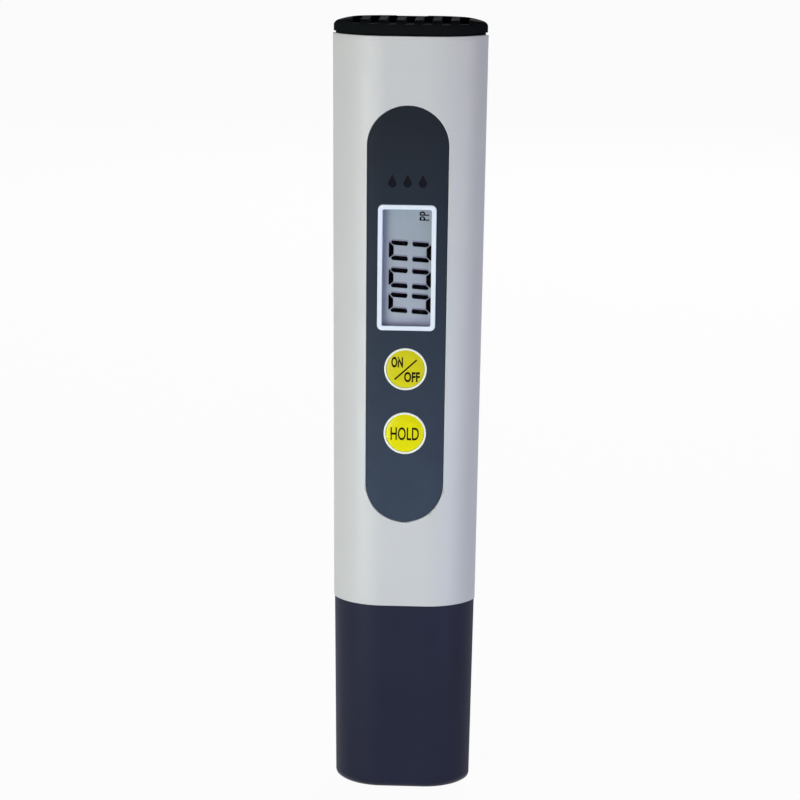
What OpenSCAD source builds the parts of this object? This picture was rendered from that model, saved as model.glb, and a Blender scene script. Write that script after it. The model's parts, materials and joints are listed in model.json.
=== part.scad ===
// Water quality test pen, standing upright on its protective cap.
// Millimetres. X is the width, -Y is the front with the display, Z is up from the foot.

/* [Outer form] */
// Height of the whole pen, standing on its cap
overall_h = 154; // [150:1:180]
// Width across the top end of the sleeve
top_w = 30; // [29.5:0.5:36]
// Width of the sleeve where it meets the protective cap
seam_w = 28.2; // [27.5:0.1:34]
// Front to back depth of the sleeve
body_t = 14; // [14:0.5:18]
// Height of the seam between the protective cap and the sleeve
seam_z = 38.5; // [36:0.5:44]
// Half width of the flat band down the middle of the front and the back
flat_half = 4.2; // [3.5:0.1:5]
// Radius of the two long side edges
side_r = 1.2; // [0.8:0.1:2.4]
// Wall of the sleeve
sleeve_wall = 1.4; // [1.2:0.1:1.6]
// Radius of the sleeve's two end edges
sleeve_edge_r = 0.3; // [0.1:0.1:0.5]

/* [Protective cap] */
// Width across the foot of the cap
foot_w = 27.2; // [26.5:0.1:32]
// Depth across the foot of the cap
foot_t = 13; // [12.6:0.1:16]
// Wall of the cap
cap_wall = 1.3; // [1:0.1:1.6]
// Thickness of the cap's floor
cap_floor = 1.8; // [1.2:0.1:2]
// Radius of the edge around the cap's foot
cap_foot_r = 2.1; // [1:0.1:2.6]
// How far the cap's side stands in from the sleeve's at the seam
cap_step = 0.15; // [0:0.05:0.4]
// Radius of the cap's mouth edge
cap_rim_r = 0.2; // [0.1:0.05:0.4]
// Running clearance between the cap and the collar that it slides over
cap_fit = 0.12; // [0.08:0.01:0.2]

/* [Battery cap] */
// Height of the part of the battery cap that stands above the sleeve
lid_h = 3; // [2.6:0.1:5]
// How far its side stands in from the sleeve's
lid_inset = 0.15; // [0.1:0.05:0.8]
// Radius of its top edge
lid_edge_r = 1.3; // [0.3:0.1:1.6]
// Height of the undercut between it and the sleeve
lid_gap_h = 0.4; // [0.1:0.05:0.8]
// Depth of that undercut
lid_gap_d = 0.4; // [0.1:0.05:0.8]
// Length of its plug inside the sleeve
plug_h = 5; // [4.8:0.1:6]
// Wall of the plug
plug_wall = 1.2; // [0.8:0.1:1.5]
// Clearance around the plug
plug_fit = 0.1; // [0.05:0.01:0.2]
// Number of grip slots across the top
slot_count = 7; // [5:2:7]
// Spacing of the grip slots
slot_pitch = 3.45; // [3:0.05:3.6]
// Width of a grip slot
slot_w = 1.85; // [1:0.05:2.2]
// Depth of a grip slot
slot_depth = 1.3; // [0.8:0.1:1.5]
// Depth of the notch that opens a slot's front end
slot_mouth_d = 0.8; // [0.2:0.1:1]
// Plain rim left around the slots
slot_rim = 1.1; // [0.7:0.1:1.6]
// Width of the thumb notch in the back edge
notch_w = 6; // [4:0.5:9]
// Depth of the thumb notch, a shallow dip in the back edge
notch_d = 0.12; // [0.05:0.01:0.3]

/* [Front panel] */
// Share of the sleeve's plain length beyond the panel that lies below it
panel_place = 0.5672; // [0.5:0.0001:0.62]
// Length of the panel
panel_len = 82; // [80:0.5:84]
// Width of the panel's upper end
panel_top_w = 15.7; // [14:0.1:17]
// Width of the panel's lower end
panel_low_w = 15.2; // [14:0.1:17]
// How far the panel's face lies below the sleeve's
panel_sink = 0.2; // [0.1:0.05:0.25]
// Thickness of the panel
panel_t = 0.5; // [0.3:0.05:0.55]
// Thickness of the tape behind the panel
tape_t = 0.1; // [0.05:0.05:0.15]
// Gap around the panel and around what comes through it
panel_gap = 0.05; // [0.03:0.01:0.15]
// How far the tape's edge stands back from the panel's
tape_margin = 0.5; // [0.3:0.1:1]

/* [Display] */
// Width of the display frame
frame_w = 11.3; // [10.8:0.1:12]
// Height of the display frame
frame_h = 24.6; // [22:0.2:26]
// Width of the frame's visible border
frame_border = 0.9; // [0.7:0.05:1.2]
// Corner radius of the frame
frame_corner = 1; // [0.6:0.1:2]
// Thickness of the frame's front lip
frame_lip_t = 0.4; // [0.3:0.05:0.5]
// How far the frame stands proud of the panel
frame_proud = 0.15; // [0:0.05:0.3]
// Wall of the frame around the window
frame_wall = 0.3; // [0.2:0.05:0.4]
// Thickness of the clear window
window_t = 0.7; // [0.5:0.1:0.8]
// Clearance around the window
window_gap = 0.05; // [0.03:0.01:0.1]
// Width of the liquid crystal glass
glass_w = 13; // [11:0.1:13.2]
// Length of the front glass
glass_h = 28; // [26:0.1:28.4]
// Thickness of one sheet of glass
glass_t = 1; // [0.8:0.1:1.1]
// Length of the contact ledge at each end of the front glass
ledge_h = 2.1; // [1.8:0.1:2.4]
// Depth of the glass's front face behind the pen's front
glass_depth = 1.8; // [1.8:0.05:2]
// Thickness of the reflector film
reflector_t = 0.2; // [0.1:0.05:0.3]
// Thickness of a conductive rubber strip
zebra_t = 1.7; // [1.2:0.1:1.8]
// Wall of the glass holder
holder_wall = 1.05; // [0.8:0.05:1.2]
// Thickness of the shelf behind the glass
shelf_t = 0.8; // [0.6:0.1:1]
// Clearance around the glass in its holder
glass_gap = 0.05; // [0.03:0.01:0.1]
// Gap between the glass holder and the flange of the on/off button
holder_clear = 0.35; // [0.2:0.05:1]

/* [Buttons] */
// Share of the free length inside the sleeve that lies below the buttons
front_place = 0.6525; // [0.5:0.0001:0.75]
// Spacing of the two buttons
button_pitch = 12.8; // [11.5:0.1:13.5]
// Diameter of a button
button_d = 7.4; // [6.5:0.1:7.8]
// Running clearance around a button
button_fit = 0.08; // [0.05:0.01:0.1]
// Width of the white ring around a button
bezel_w = 0.37; // [0.25:0.01:0.6]
// How far the ring stands proud of the panel
bezel_proud = 0.15; // [0:0.05:0.3]
// How far the middle of a button stands proud of the panel
button_proud = 0.3; // [0.2:0.05:0.5]
// How far the middle of a button stands proud of its edge
button_crown = 0.12; // [0.05:0.01:0.2]
// Radius of the edge around a button's face
button_edge_r = 0.25; // [0.1:0.05:0.4]
// Diameter of the flange that keeps a button in
button_flange_d = 9; // [8.6:0.1:9.4]
// Thickness of that flange
button_flange_t = 0.6; // [0.4:0.1:0.7]
// Gap between the flange and the sleeve's inner face
flange_gap = 0.1; // [0.05:0.01:0.15]
// Diameter of the stem that presses the switch
button_stem_d = 3; // [2:0.1:3.2]

/* [Circuit board] */
// Depth of the board's back face behind the pen's front
board_depth = 7; // [6.9:0.05:7.1]
// Thickness of the board
board_t = 1.2; // [1:0.1:1.3]
// Width of the board
board_w = 21.6; // [20.6:0.1:22]
// Gap between the board's upper edge and the battery bay
board_end_gap = 0.2; // [0.1:0.05:0.5]
// Gap between the board's lower edge and the probe holder
board_foot_gap = 2; // [1:0.1:3]
// Side of a key switch
switch_w = 6; // [5:0.1:6.4]
// Height of a key switch, without its plunger
switch_h = 2.7; // [2.4:0.1:2.8]
// Thickness of a switch's metal cover
switch_cover_t = 0.3; // [0.2:0.05:0.4]
// Diameter of a switch plunger
plunger_d = 3.3; // [2.5:0.1:3.6]
// Clearance around a switch plunger
plunger_fit = 0.1; // [0.06:0.01:0.15]
// Stroke of a button
stroke = 0.4; // [0.2:0.05:0.4]
// Thickness of a switch's snap dome
dome_t = 0.12; // [0.08:0.01:0.2]
// Side of the controller chip
controller_w = 7; // [5:0.5:8]
// Height of the controller chip on the board
controller_h = 1.4; // [0.8:0.1:1.8]
// Width of the amplifier chip
amplifier_w = 3.9; // [3:0.1:5]
// Length of the amplifier chip
amplifier_l = 5; // [3:0.1:6]
// Height of the amplifier chip on the board
amplifier_h = 1.5; // [0.8:0.1:1.8]
// Distance of the amplifier chip from the pen's middle
amplifier_x = 5.4; // [5:0.1:6]
// Distance of the timing crystal from the pen's middle
crystal_x = 6; // [5:0.1:7]
// Gap between the controller chip and its neighbours
chip_gap = 1; // [0.5:0.1:2]
// Length of a resistor
resistor_l = 1.6; // [1:0.1:2]
// Width of a resistor
resistor_w = 0.8; // [0.5:0.05:1.2]
// Height of a resistor
resistor_h = 0.5; // [0.3:0.05:0.8]
// Spacing of the resistors
resistor_pitch = 2.2; // [1.6:0.1:2.6]
// Distance of the resistors from the pen's middle
resistor_x = 4.5; // [4.2:0.1:6]
// Length of a capacitor
capacitor_l = 2; // [1.2:0.1:2.4]
// Side of a capacitor
capacitor_w = 1.2; // [0.8:0.1:1.6]
// Spacing of the capacitors
capacitor_pitch = 3; // [2.6:0.1:4]
// Length of the timing crystal
crystal_l = 8; // [6:0.5:9]
// Diameter of the timing crystal
crystal_d = 2.6; // [2:0.1:3]
// Side of the calibration trimmer
trimmer_w = 5; // [4.5:0.1:6]
// Height of the calibration trimmer
trimmer_h = 2.6; // [2.2:0.1:3]
// Diameter of the trimmer's rotor
rotor_d = 3; // [2.4:0.1:3.2]
// Running clearance around the rotor
rotor_fit = 0.05; // [0.02:0.01:0.1]
// Diameter of the calibration hole in the back of the sleeve
trimmer_hole_d = 3.4; // [2.8:0.1:5]

/* [Carrier and battery bay] */
// Clearance between the carrier and the sleeve
carrier_gap = 0.15; // [0.1:0.01:0.3]
// Width of a carrier rail beside the board
rail_w = 2.6; // [2.2:0.1:3]
// Height of a carrier cross bar
bar_h = 3.5; // [3:0.1:4]
// Height of the lowest cross bar's middle above the board's lower edge
bar_rise = 5.8; // [5.5:0.1:7]
// Gap between the highest cross bar and the contacts
bar_gap = 1.5; // [0.5:0.1:2]
// Thickness of the carrier's cross bars
bar_t = 1.6; // [1.2:0.1:2]
// Diameter of a button cell
cell_d = 11.6; // [10.8:0.1:11.6]
// Thickness of a button cell
cell_t = 5.4; // [4.2:0.1:5.4]
// Gap between the two cells
cell_gap = 0.1; // [0.06:0.01:0.2]
// Height of the battery bay's walls above its floor
bay_h = 12; // [11.8:0.1:12.4]
// Thickness of the battery bay's floor
bay_floor = 1; // [0.8:0.1:1.5]
// Thickness of the battery bay's walls
bay_wall = 0.9; // [0.6:0.1:1.2]
// Thickness of a battery contact
contact_t = 0.2; // [0.15:0.01:0.3]
// Width of a battery contact
contact_w = 5; // [3:0.1:6]
// Gap between a cell and its contact
contact_gap = 0.05; // [0.03:0.01:0.1]
// How far a contact's leaf reaches above the middle of its cell
contact_reach = 4; // [2:0.5:5]
// Depth of a contact's foot below the battery bay
contact_drop = 1.6; // [1:0.1:2]
// Length of a contact's pad on the board
contact_pad = 1.8; // [1:0.1:2.2]
// Height of the bridge between the two cells
bridge_h = 6; // [4:0.5:8]
// Gap between the battery bay and the battery cap's plug
bay_gap = 0.5; // [0.3:0.1:1]
// Diameter of a board screw's thread
screw_d = 1.6; // [1.2:0.1:2]
// Diameter of a board screw's head
screw_head_d = 2.8; // [2.2:0.1:3.2]
// Height of a board screw's head
screw_head_h = 0.9; // [0.6:0.1:1.2]
// Distance of a board screw from the pen's middle
screw_x = 7.6; // [7:0.1:8]

/* [Probe] */
// Length of the probe holder's plug inside the sleeve
holder_plug_h = 10; // [8:0.5:11]
// Length of the collar that the protective cap slides over
collar_h = 14.5; // [12:0.5:18]
// Wall of the probe holder
holder_shell = 1.3; // [1:0.1:1.6]
// Thickness of the plate that carries the electrodes
probe_plate = 4; // [3:0.5:6]
// Height of the guard's tip above the cap's foot
guard_z = 6.6; // [6.2:0.1:8]
// How far the guard stands in from the collar
guard_step = 0.6; // [0.4:0.1:1]
// Width of the open pocket between the guard's cheeks
pocket_w = 16.6; // [12:0.2:17]
// Diameter of an electrode
electrode_d = 1.4; // [1:0.1:1.8]
// Spacing of the two electrodes
electrode_pitch = 6; // [5:0.1:7]
// Height of the electrodes' tips above the guard's tip
electrode_rise = 4.8; // [4.6:0.1:6]
// Length of an electrode's end in the board
electrode_seat = 3; // [2:0.1:4]
// Diameter of the temperature sensor
sensor_d = 1.8; // [1.4:0.1:2]
// Height of the sensor's tip above the electrodes' tips
sensor_rise = 1.5; // [0.5:0.1:3]
// Clearance of a pin in its hole
pin_fit = 0.02; // [0.01:0.01:0.05]
// Depth of the potting inside the holder
potting_h = 5; // [3:0.5:8]

/* [Hidden] */

$fn = 48;
// Steps of a section's shoulder arc, of its side arc and of a rounded edge
shoulder_steps = 10;
side_steps = 3;
edge_steps = 5;
// Steps of a panel end and of a small corner
end_steps = 24;
corner_steps = 5;
// Least side radius that an inner section keeps
least_side_r = 0.5;
// Reach of a cut past the face that it opens
past = 1;

front_y = -body_t / 2;
sleeve_top = overall_h - lid_h;
panel_z = seam_z + panel_place * (sleeve_top - seam_z - panel_len);
panel_y = front_y + panel_sink;
recess_d = panel_sink + panel_t + tape_t;
recess_y = front_y + recess_d;
inner_front_y = front_y + sleeve_wall;

board_back_y = front_y + board_depth;
board_front_y = board_back_y - board_t;
board_mid_y = board_back_y - board_t / 2;
holder_top = seam_z + holder_plug_h;
board_z = holder_top + board_foot_gap;

cell_top_clear = 0.1;
bay_z = sleeve_top - plug_h - bay_gap - bay_h;
bay_low = bay_z - bay_floor;
cell_z = bay_z + cell_d / 2;
cell_x = (cell_d + cell_gap) / 2;
bay_face = cell_t / 2 + contact_gap + contact_t;
board_top = bay_low - board_end_gap;
// The buttons and the glass holder are stacked in the free length above the probe holder
holder_len = glass_h + 2 * glass_gap + 2 * holder_wall;
stack_h = button_flange_d + button_pitch + holder_clear + holder_len;
hold_z = mix(holder_top, bay_low - stack_h, front_place) + button_flange_d / 2;
on_off_z = hold_z + button_pitch;
display_z = on_off_z + button_flange_d / 2 + holder_clear + holder_len / 2;

glass_y = front_y + glass_depth;
shelf_y = glass_y + 2 * glass_t + reflector_t;
glass_holder_y = glass_y + 0.4;
switch_top_y = board_front_y - switch_h;
stem_y = switch_top_y - stroke - 0.1;
flange_y = inner_front_y + flange_gap;
bezel_d = button_d + 2 * button_fit + 2 * bezel_w;
bore_d = button_d + 2 * button_fit;

window_w = frame_w - 2 * frame_wall;
window_h = frame_h - 2 * frame_wall;
lower_bar_z = board_z + bar_rise;
contact_low = bay_low - contact_drop - contact_pad;
upper_bar_z = contact_low - bar_gap - bar_h / 2;
screw_zs = [lower_bar_z, on_off_z];
trimmer_z = (lower_bar_z + on_off_z) / 2;
chip_low = display_z - controller_w / 2 - chip_gap;

collar_z = seam_z - collar_h;
plate_top = collar_z + probe_plate;
holder_inset = cap_wall + cap_fit;
electrode_z = guard_z + electrode_rise;
electrode_top = board_z + electrode_seat;
sensor_z = electrode_z + sensor_rise;
sensor_top = plate_top + 1;

function mix(low, high, t) = low + (high - low) * t;

// One station of a section: height, half width, half depth and side radius
function station(z, half_w, half_t, inset) =
    [z, half_w - inset, half_t - inset, max(least_side_r, side_r - inset)];
sleeve_at = function(z, inset)
    station(z, mix(seam_w, top_w, (z - seam_z) / (sleeve_top - seam_z)) / 2, body_t / 2, inset);
cap_at = function(z, inset)
    station(z, mix(foot_w, seam_w, z / seam_z) / 2 - cap_step,
            mix(foot_t, body_t, z / seam_z) / 2 - cap_step, inset);

lid_at = function(z, inset) station(z, top_w / 2, body_t / 2, inset);

// A quarter of a section: a wide shoulder arc from the flat band to a small side arc
function quarter(half_w, half_t, r) =
    let (reach = half_w - r - flat_half,
         shoulder_r = (reach * reach + half_t * half_t - r * r) / (2 * (half_t - r)),
         lean = atan2(shoulder_r - half_t, reach))
    concat([for (i = [0:shoulder_steps])
                let (t = mix(90, lean, i / shoulder_steps))
                [flat_half + shoulder_r * cos(t), half_t - shoulder_r + shoulder_r * sin(t)]],
           [for (i = [1:side_steps])
                let (t = mix(lean, 0, i / side_steps))
                [half_w - r + r * cos(t), r * sin(t)]]);

// The whole section, clockwise seen from above
function section(half_w, half_t, r) =
    let (q = quarter(half_w, half_t, r), last = len(q) - 2)
    concat(q,
           [for (i = [last:-1:0]) [q[i].x, -q[i].y]],
           [for (p = q) [-p.x, -p.y]],
           [for (i = [last:-1:0]) [-q[i].x, q[i].y]]);

// A solid through a list of stations, from the lowest to the highest
module loft(stations) {
    rings = [for (s = stations) [for (p = section(s[1], s[2], s[3])) [p.x, p.y, s[0]]]];
    n = len(rings[0]);
    top = (len(rings) - 1) * n;
    polyhedron(
        points = [for (ring = rings) each ring],
        faces = concat(
            [[for (i = [n - 1:-1:0]) i]],
            [for (k = [0:len(rings) - 2], i = [0:n - 1])
                let (j = (i + 1) % n, low = k * n, high = low + n)
                each [[low + j, high + j, high + i], [low + j, high + i, low + i]]],
            [[for (i = [0:n - 1]) top + i]]));
}

// Stations that round a lower or an upper edge to a radius
function low_edge(at, z, r, inset) =
    [for (i = [0:edge_steps])
        let (t = 90 * i / edge_steps) at(z + r * (1 - cos(t)), inset + r * (1 - sin(t)))];
function high_edge(at, z, r, inset) =
    [for (i = [0:edge_steps])
        let (t = 90 * i / edge_steps) at(z - r * (1 - sin(t)), inset + r * (1 - cos(t)))];

// The room inside the sleeve, drawn in by a clearance
module sleeve_room(z_low, z_high, inset) {
    loft([sleeve_at(z_low, inset), sleeve_at(z_high, inset)]);
}

// Extrudes an outline in X and Z from one depth to another
module front_prism(points, y_near, y_far) {
    translate([0, y_far, 0]) rotate([90, 0, 0]) linear_extrude(y_far - y_near) polygon(points);
}

// Turns a piece so that its +Z looks out of the front
module facing(x, y, z) {
    translate([x, y, z]) rotate([90, 0, 0]) children();
}

// A block from one corner to the other
module block(low, high) {
    translate(low) cube(high - low);
}

// A rectangle with round corners about a height on the front
function rounded_frame(w, h, r, z) =
    [for (corner = [0:3], i = [0:corner_steps])
        let (t = 90 * (corner + i / corner_steps),
             sx = corner == 0 || corner == 3 ? 1 : -1,
             sz = corner < 2 ? 1 : -1)
        [sx * (w / 2 - r) + r * cos(t), z + sz * (h / 2 - r) + r * sin(t)]];

// The panel's outline: two round ends of slightly different widths
function panel_outline(grow) =
    let (top_r = panel_top_w / 2, low_r = panel_low_w / 2)
    concat([for (i = [0:end_steps])
                let (t = 180 * i / end_steps)
                [(top_r + grow) * cos(t), panel_z + panel_len - top_r + (top_r + grow) * sin(t)]],
           [for (i = [0:end_steps])
                let (t = 180 + 180 * i / end_steps)
                [(low_r + grow) * cos(t), panel_z + low_r + (low_r + grow) * sin(t)]]);

// What comes through the panel, larger by a gap
module panel_holes(gap) {
    deep = recess_y + past;
    front_prism(rounded_frame(frame_w + 2 * gap, frame_h + 2 * gap, frame_corner + gap, display_z),
                front_y - past, deep);
    for (z = [on_off_z, hold_z])
        facing(0, deep, z) cylinder(d = bezel_d + 2 * gap, h = recess_d + 2 * past);
}

// A skin that follows the sleeve's front between two depths
module front_skin(outline, depth, thickness) {
    difference() {
        intersection() {
            sleeve_room(seam_z - past, sleeve_top + past, depth);
            front_prism(outline, front_y - past, front_y + body_t / 4);
        }
        sleeve_room(seam_z - past, sleeve_top + past, depth + thickness);
    }
}

module protective_cap() {
    color("#2c3044") difference() {
        loft(concat(low_edge(cap_at, 0, cap_foot_r, 0), high_edge(cap_at, seam_z, cap_rim_r, 0)));
        loft(concat(low_edge(cap_at, cap_floor, cap_foot_r / 2, cap_wall),
                    [cap_at(seam_z + past, cap_wall)]));
    }
}

module housing() {
    color("#d3d7da") difference() {
        loft(concat(low_edge(sleeve_at, seam_z, sleeve_edge_r, 0),
                    high_edge(sleeve_at, sleeve_top, sleeve_edge_r, 0)));
        sleeve_room(seam_z - past, sleeve_top + past, sleeve_wall);
        difference() {
            front_prism(panel_outline(panel_gap), front_y - past, front_y + body_t / 4);
            sleeve_room(seam_z - past, sleeve_top + past, recess_d);
        }
        front_prism(rounded_frame(window_w + 2 * window_gap, window_h + 2 * window_gap,
                                  frame_corner, display_z),
                    front_y - past, inner_front_y + past);
        for (z = [on_off_z, hold_z])
            facing(0, inner_front_y + past, z) cylinder(d = bore_d, h = sleeve_wall + 2 * past);
        facing(0, body_t / 2 + past, trimmer_z)
            cylinder(d = trimmer_hole_d, h = sleeve_wall + 2 * past);
    }
}

module face_panel() {
    color("#38414c") difference() {
        front_skin(panel_outline(0), panel_sink, panel_t);
        panel_holes(panel_gap);
    }
}

module panel_tape() {
    color("#20242a") difference() {
        front_skin(panel_outline(-tape_margin), panel_sink + panel_t, tape_t);
        panel_holes(tape_margin);
    }
}

module display_frame() {
    face_y = panel_y - frame_proud;
    lip_y = face_y + frame_lip_t;
    color("#e6ecf4") difference() {
        front_prism(rounded_frame(frame_w, frame_h, frame_corner, display_z), face_y, recess_y);
        front_prism(rounded_frame(frame_w - 2 * frame_border, frame_h - 2 * frame_border,
                                  frame_corner / 3, display_z), face_y - past, lip_y + past);
        front_prism(rounded_frame(window_w, window_h, frame_corner - frame_wall, display_z),
                    lip_y, recess_y + past);
    }
}

module display_window() {
    lip_y = panel_y - frame_proud + frame_lip_t;
    color([0.85, 0.9, 0.92, 0.35])
        front_prism(rounded_frame(window_w - 2 * window_gap, window_h - 2 * window_gap,
                                  frame_corner - frame_wall, display_z),
                    lip_y, lip_y + window_t);
}

module button_bezels() {
    ring_h = recess_y - panel_y + bezel_proud;
    color("#eef1f4") for (z = [on_off_z, hold_z])
        facing(0, recess_y, z) difference() {
            cylinder(d = bezel_d, h = ring_h);
            translate([0, 0, -past]) cylinder(d = bore_d, h = ring_h + 2 * past);
        }
}

// A push button: stem, flange and barrel with a crowned face, drawn from its stem forwards
module push_button(z) {
    flange_back = stem_y - flange_y - button_flange_t;
    flange_front = stem_y - flange_y;
    face = stem_y - panel_y + button_proud;
    r = button_d / 2;
    edge = r - button_edge_r;
    shoulder = face - button_crown - button_edge_r;
    crown_r = (edge * edge + button_crown * button_crown) / (2 * button_crown);
    facing(0, stem_y, z) rotate_extrude() polygon(concat(
        [[0, 0], [button_stem_d / 2, 0], [button_stem_d / 2, flange_back],
         [button_flange_d / 2, flange_back], [button_flange_d / 2, flange_front],
         [r, flange_front]],
        [for (i = [0:corner_steps])
            let (t = 90 * i / corner_steps)
            [edge + button_edge_r * cos(t), shoulder + button_edge_r * sin(t)]],
        [for (i = [1:corner_steps])
            let (x = edge * (1 - i / corner_steps))
            [x, face - crown_r + sqrt(crown_r * crown_r - x * x)]]));
}

module on_off_button() {
    color("#dcdc28") push_button(on_off_z);
}

module hold_button() {
    color("#e8e818") push_button(hold_z);
}

module lcd_front_glass() {
    color([0.7, 0.76, 0.74, 0.6])
        block([-glass_w / 2, glass_y, display_z - glass_h / 2],
              [glass_w / 2, glass_y + glass_t, display_z + glass_h / 2]);
}

module lcd_rear_glass() {
    half_h = glass_h / 2 - ledge_h;
    color([0.7, 0.76, 0.74, 0.6])
        block([-glass_w / 2, glass_y + glass_t, display_z - half_h],
              [glass_w / 2, glass_y + 2 * glass_t, display_z + half_h]);
}

module lcd_reflector() {
    half_h = glass_h / 2 - ledge_h;
    color("#a9b1b0")
        block([-glass_w / 2, shelf_y - reflector_t, display_z - half_h],
              [glass_w / 2, shelf_y, display_z + half_h]);
}

module zebra_strips() {
    edge = glass_h / 2 - ledge_h / 2;
    color("#3b3b40") for (side = [-1, 1])
        block([-glass_w / 2 + glass_gap, glass_y + glass_t, display_z + side * edge - zebra_t / 2],
              [glass_w / 2 - glass_gap, board_front_y, display_z + side * edge + zebra_t / 2]);
}

module lcd_holder() {
    half_w = glass_w / 2 + glass_gap;
    half_h = glass_h / 2 + glass_gap;
    strip_z = glass_h / 2 - ledge_h / 2;
    slot_half = zebra_t / 2 + glass_gap;
    rear_half = glass_h / 2 - ledge_h + glass_gap;
    color("#e3e5e2") difference() {
        block([-half_w - holder_wall, glass_holder_y, display_z - half_h - holder_wall],
              [half_w + holder_wall, board_front_y, display_z + half_h + holder_wall]);
        block([-half_w, glass_holder_y - past, display_z - half_h],
              [half_w, glass_y + glass_t, display_z + half_h]);
        block([-half_w, glass_y, display_z - rear_half], [half_w, shelf_y, display_z + rear_half]);
        block([-half_w + holder_wall, shelf_y + shelf_t, display_z - rear_half + holder_wall],
              [half_w - holder_wall, board_front_y + past, display_z + rear_half - holder_wall]);
        for (side = [-1, 1])
            block([-half_w, glass_y, display_z + side * strip_z - slot_half],
                  [half_w, board_front_y + past, display_z + side * strip_z + slot_half]);
    }
}

// The four board screws stand in pairs on the two outer cross bars
module at_screws() {
    for (side = [-1, 1], z = screw_zs)
        facing(side * screw_x, 0, z) children();
}

module circuit_board() {
    half = board_w / 2;
    notch = electrode_d / 2 + pin_fit;
    color("#1f6b3c") difference() {
        block([-half, board_front_y, board_z], [half, board_back_y, board_top]);
        for (side = [-1, 1])
            block([side * electrode_pitch / 2 - notch, board_front_y - past, board_z - past],
                  [side * electrode_pitch / 2 + notch, board_back_y + past, electrode_top + pin_fit]);
        at_screws() translate([0, 0, -board_back_y - past])
            cylinder(d = screw_d + 4 * pin_fit, h = board_t + 2 * past);
    }
}

module board_screws() {
    shank = board_t + bar_t;
    color("#b9bcc0") at_screws() translate([0, 0, -board_back_y - bar_t]) difference() {
        union() {
            cylinder(d = screw_d, h = shank);
            translate([0, 0, shank]) cylinder(d = screw_head_d, h = screw_head_h);
        }
        for (turn = [0, 90])
            rotate(turn) translate([-screw_head_d / 3, -0.15, shank + screw_head_h / 2])
                cube([screw_head_d * 2 / 3, 0.3, screw_head_h]);
    }
}

// Both key switches, drawn from the board forwards
module at_switches() {
    for (z = [on_off_z, hold_z])
        facing(0, board_front_y, z) children();
}

switch_well_d = plunger_d + 1.2;
switch_base_h = switch_h - switch_cover_t;
plunger_foot = switch_base_h - 0.9;

module switch_bases() {
    color("#22242a") at_switches() difference() {
        translate([-switch_w / 2, -switch_w / 2, 0]) cube([switch_w, switch_w, switch_base_h]);
        translate([0, 0, dome_t + 0.4]) cylinder(d = switch_well_d, h = switch_h);
    }
}

module switch_covers() {
    half = switch_w / 2;
    color("#c4c7ca") at_switches() translate([0, 0, switch_base_h]) difference() {
        translate([-half, -half, 0]) cube([switch_w, switch_w, switch_cover_t]);
        translate([0, 0, -past]) cylinder(d = plunger_d + 2 * plunger_fit, h = 3 * past);
    }
}

module switch_domes() {
    r = switch_well_d / 2 - plunger_fit;
    rise = plunger_foot - stroke - 2 * dome_t - 0.45;
    color("#d8c48a") at_switches() translate([0, 0, dome_t + 0.4]) rotate_extrude()
        polygon([[0, rise], [r * 0.45, rise * 0.8], [r * 0.8, 0], [r, 0], [r, dome_t],
                 [r * 0.82, dome_t], [r * 0.47, rise * 0.8 + dome_t], [0, rise + dome_t]]);
}

// A plunger reaches from its foot inside the switch to the button's stem
module plunger(z) {
    length = board_front_y - stem_y - plunger_foot;
    facing(0, board_front_y, z) translate([0, 0, plunger_foot]) union() {
        cylinder(d = plunger_d, h = length);
        cylinder(d = plunger_d + 0.9, h = 0.3);
    }
}

module on_off_plunger() {
    color("#303238") plunger(on_off_z);
}

module hold_plunger() {
    color("#303238") plunger(hold_z);
}

// A chip on the back of the board with a row of legs on two of its sides
module chip(x, z, w, l, h, legs) {
    block([x - w / 2, board_back_y + 0.1, z - l / 2], [x + w / 2, board_back_y + h, z + l / 2]);
    step = l / legs;
    for (side = [-1, 1], i = [0:legs - 1])
        translate([x + side * (w / 2 + 0.4), board_back_y, z - l / 2 + (i + 0.5) * step])
            translate([-0.5, 0, -0.15]) cube([1, 0.5, 0.3]);
}

module controller_chip() {
    color("#26282b") chip(0, display_z, controller_w, controller_w, controller_h, 9);
}

module amplifier_chip() {
    color("#26282b")
        chip(-amplifier_x, chip_low - amplifier_l / 2, amplifier_w, amplifier_l, amplifier_h, 4);
}

module timing_crystal() {
    color("#c2c5c9") translate([crystal_x, board_back_y + crystal_d / 2 + 0.05, chip_low - crystal_l])
        cylinder(d = crystal_d, h = crystal_l);
}

module resistors() {
    color("#3a3d42") for (column = [-1, 1], row = [0:3])
        translate([column * resistor_x, board_back_y, trimmer_z + (row - 1.5) * resistor_pitch])
            translate([-resistor_l / 2, 0, -resistor_w / 2])
                cube([resistor_l, resistor_h, resistor_w]);
}

module capacitors() {
    first_z = on_off_z + bar_h / 2 + capacitor_pitch / 2;
    color("#b08d62") for (column = [-0.5, 0.5], row = [0, 1])
        translate([column * capacitor_pitch, board_back_y, first_z + row * capacitor_pitch])
            translate([-capacitor_l / 2, 0, -capacitor_w / 2])
                cube([capacitor_l, capacitor_w, capacitor_w]);
}

module trimmer_body() {
    well = trimmer_h / 2;
    color("#2f5fa8") difference() {
        block([-trimmer_w / 2, board_back_y, trimmer_z - trimmer_w / 2],
              [trimmer_w / 2, board_back_y + trimmer_h, trimmer_z + trimmer_w / 2]);
        facing(0, board_back_y + trimmer_h + past, trimmer_z)
            cylinder(d = rotor_d + 2 * rotor_fit, h = well + past);
    }
}

module trimmer_rotor() {
    rotor_back = board_back_y + trimmer_h + 0.5;
    rotor_h = trimmer_h / 2 + 0.5 - rotor_fit;
    color("#e9e4d4") facing(0, rotor_back, trimmer_z) difference() {
        cylinder(d = rotor_d, h = rotor_h);
        translate([-rotor_d / 2 - past, -0.25, -past]) cube([rotor_d + 2 * past, 0.5, past + 0.5]);
    }
}

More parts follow.
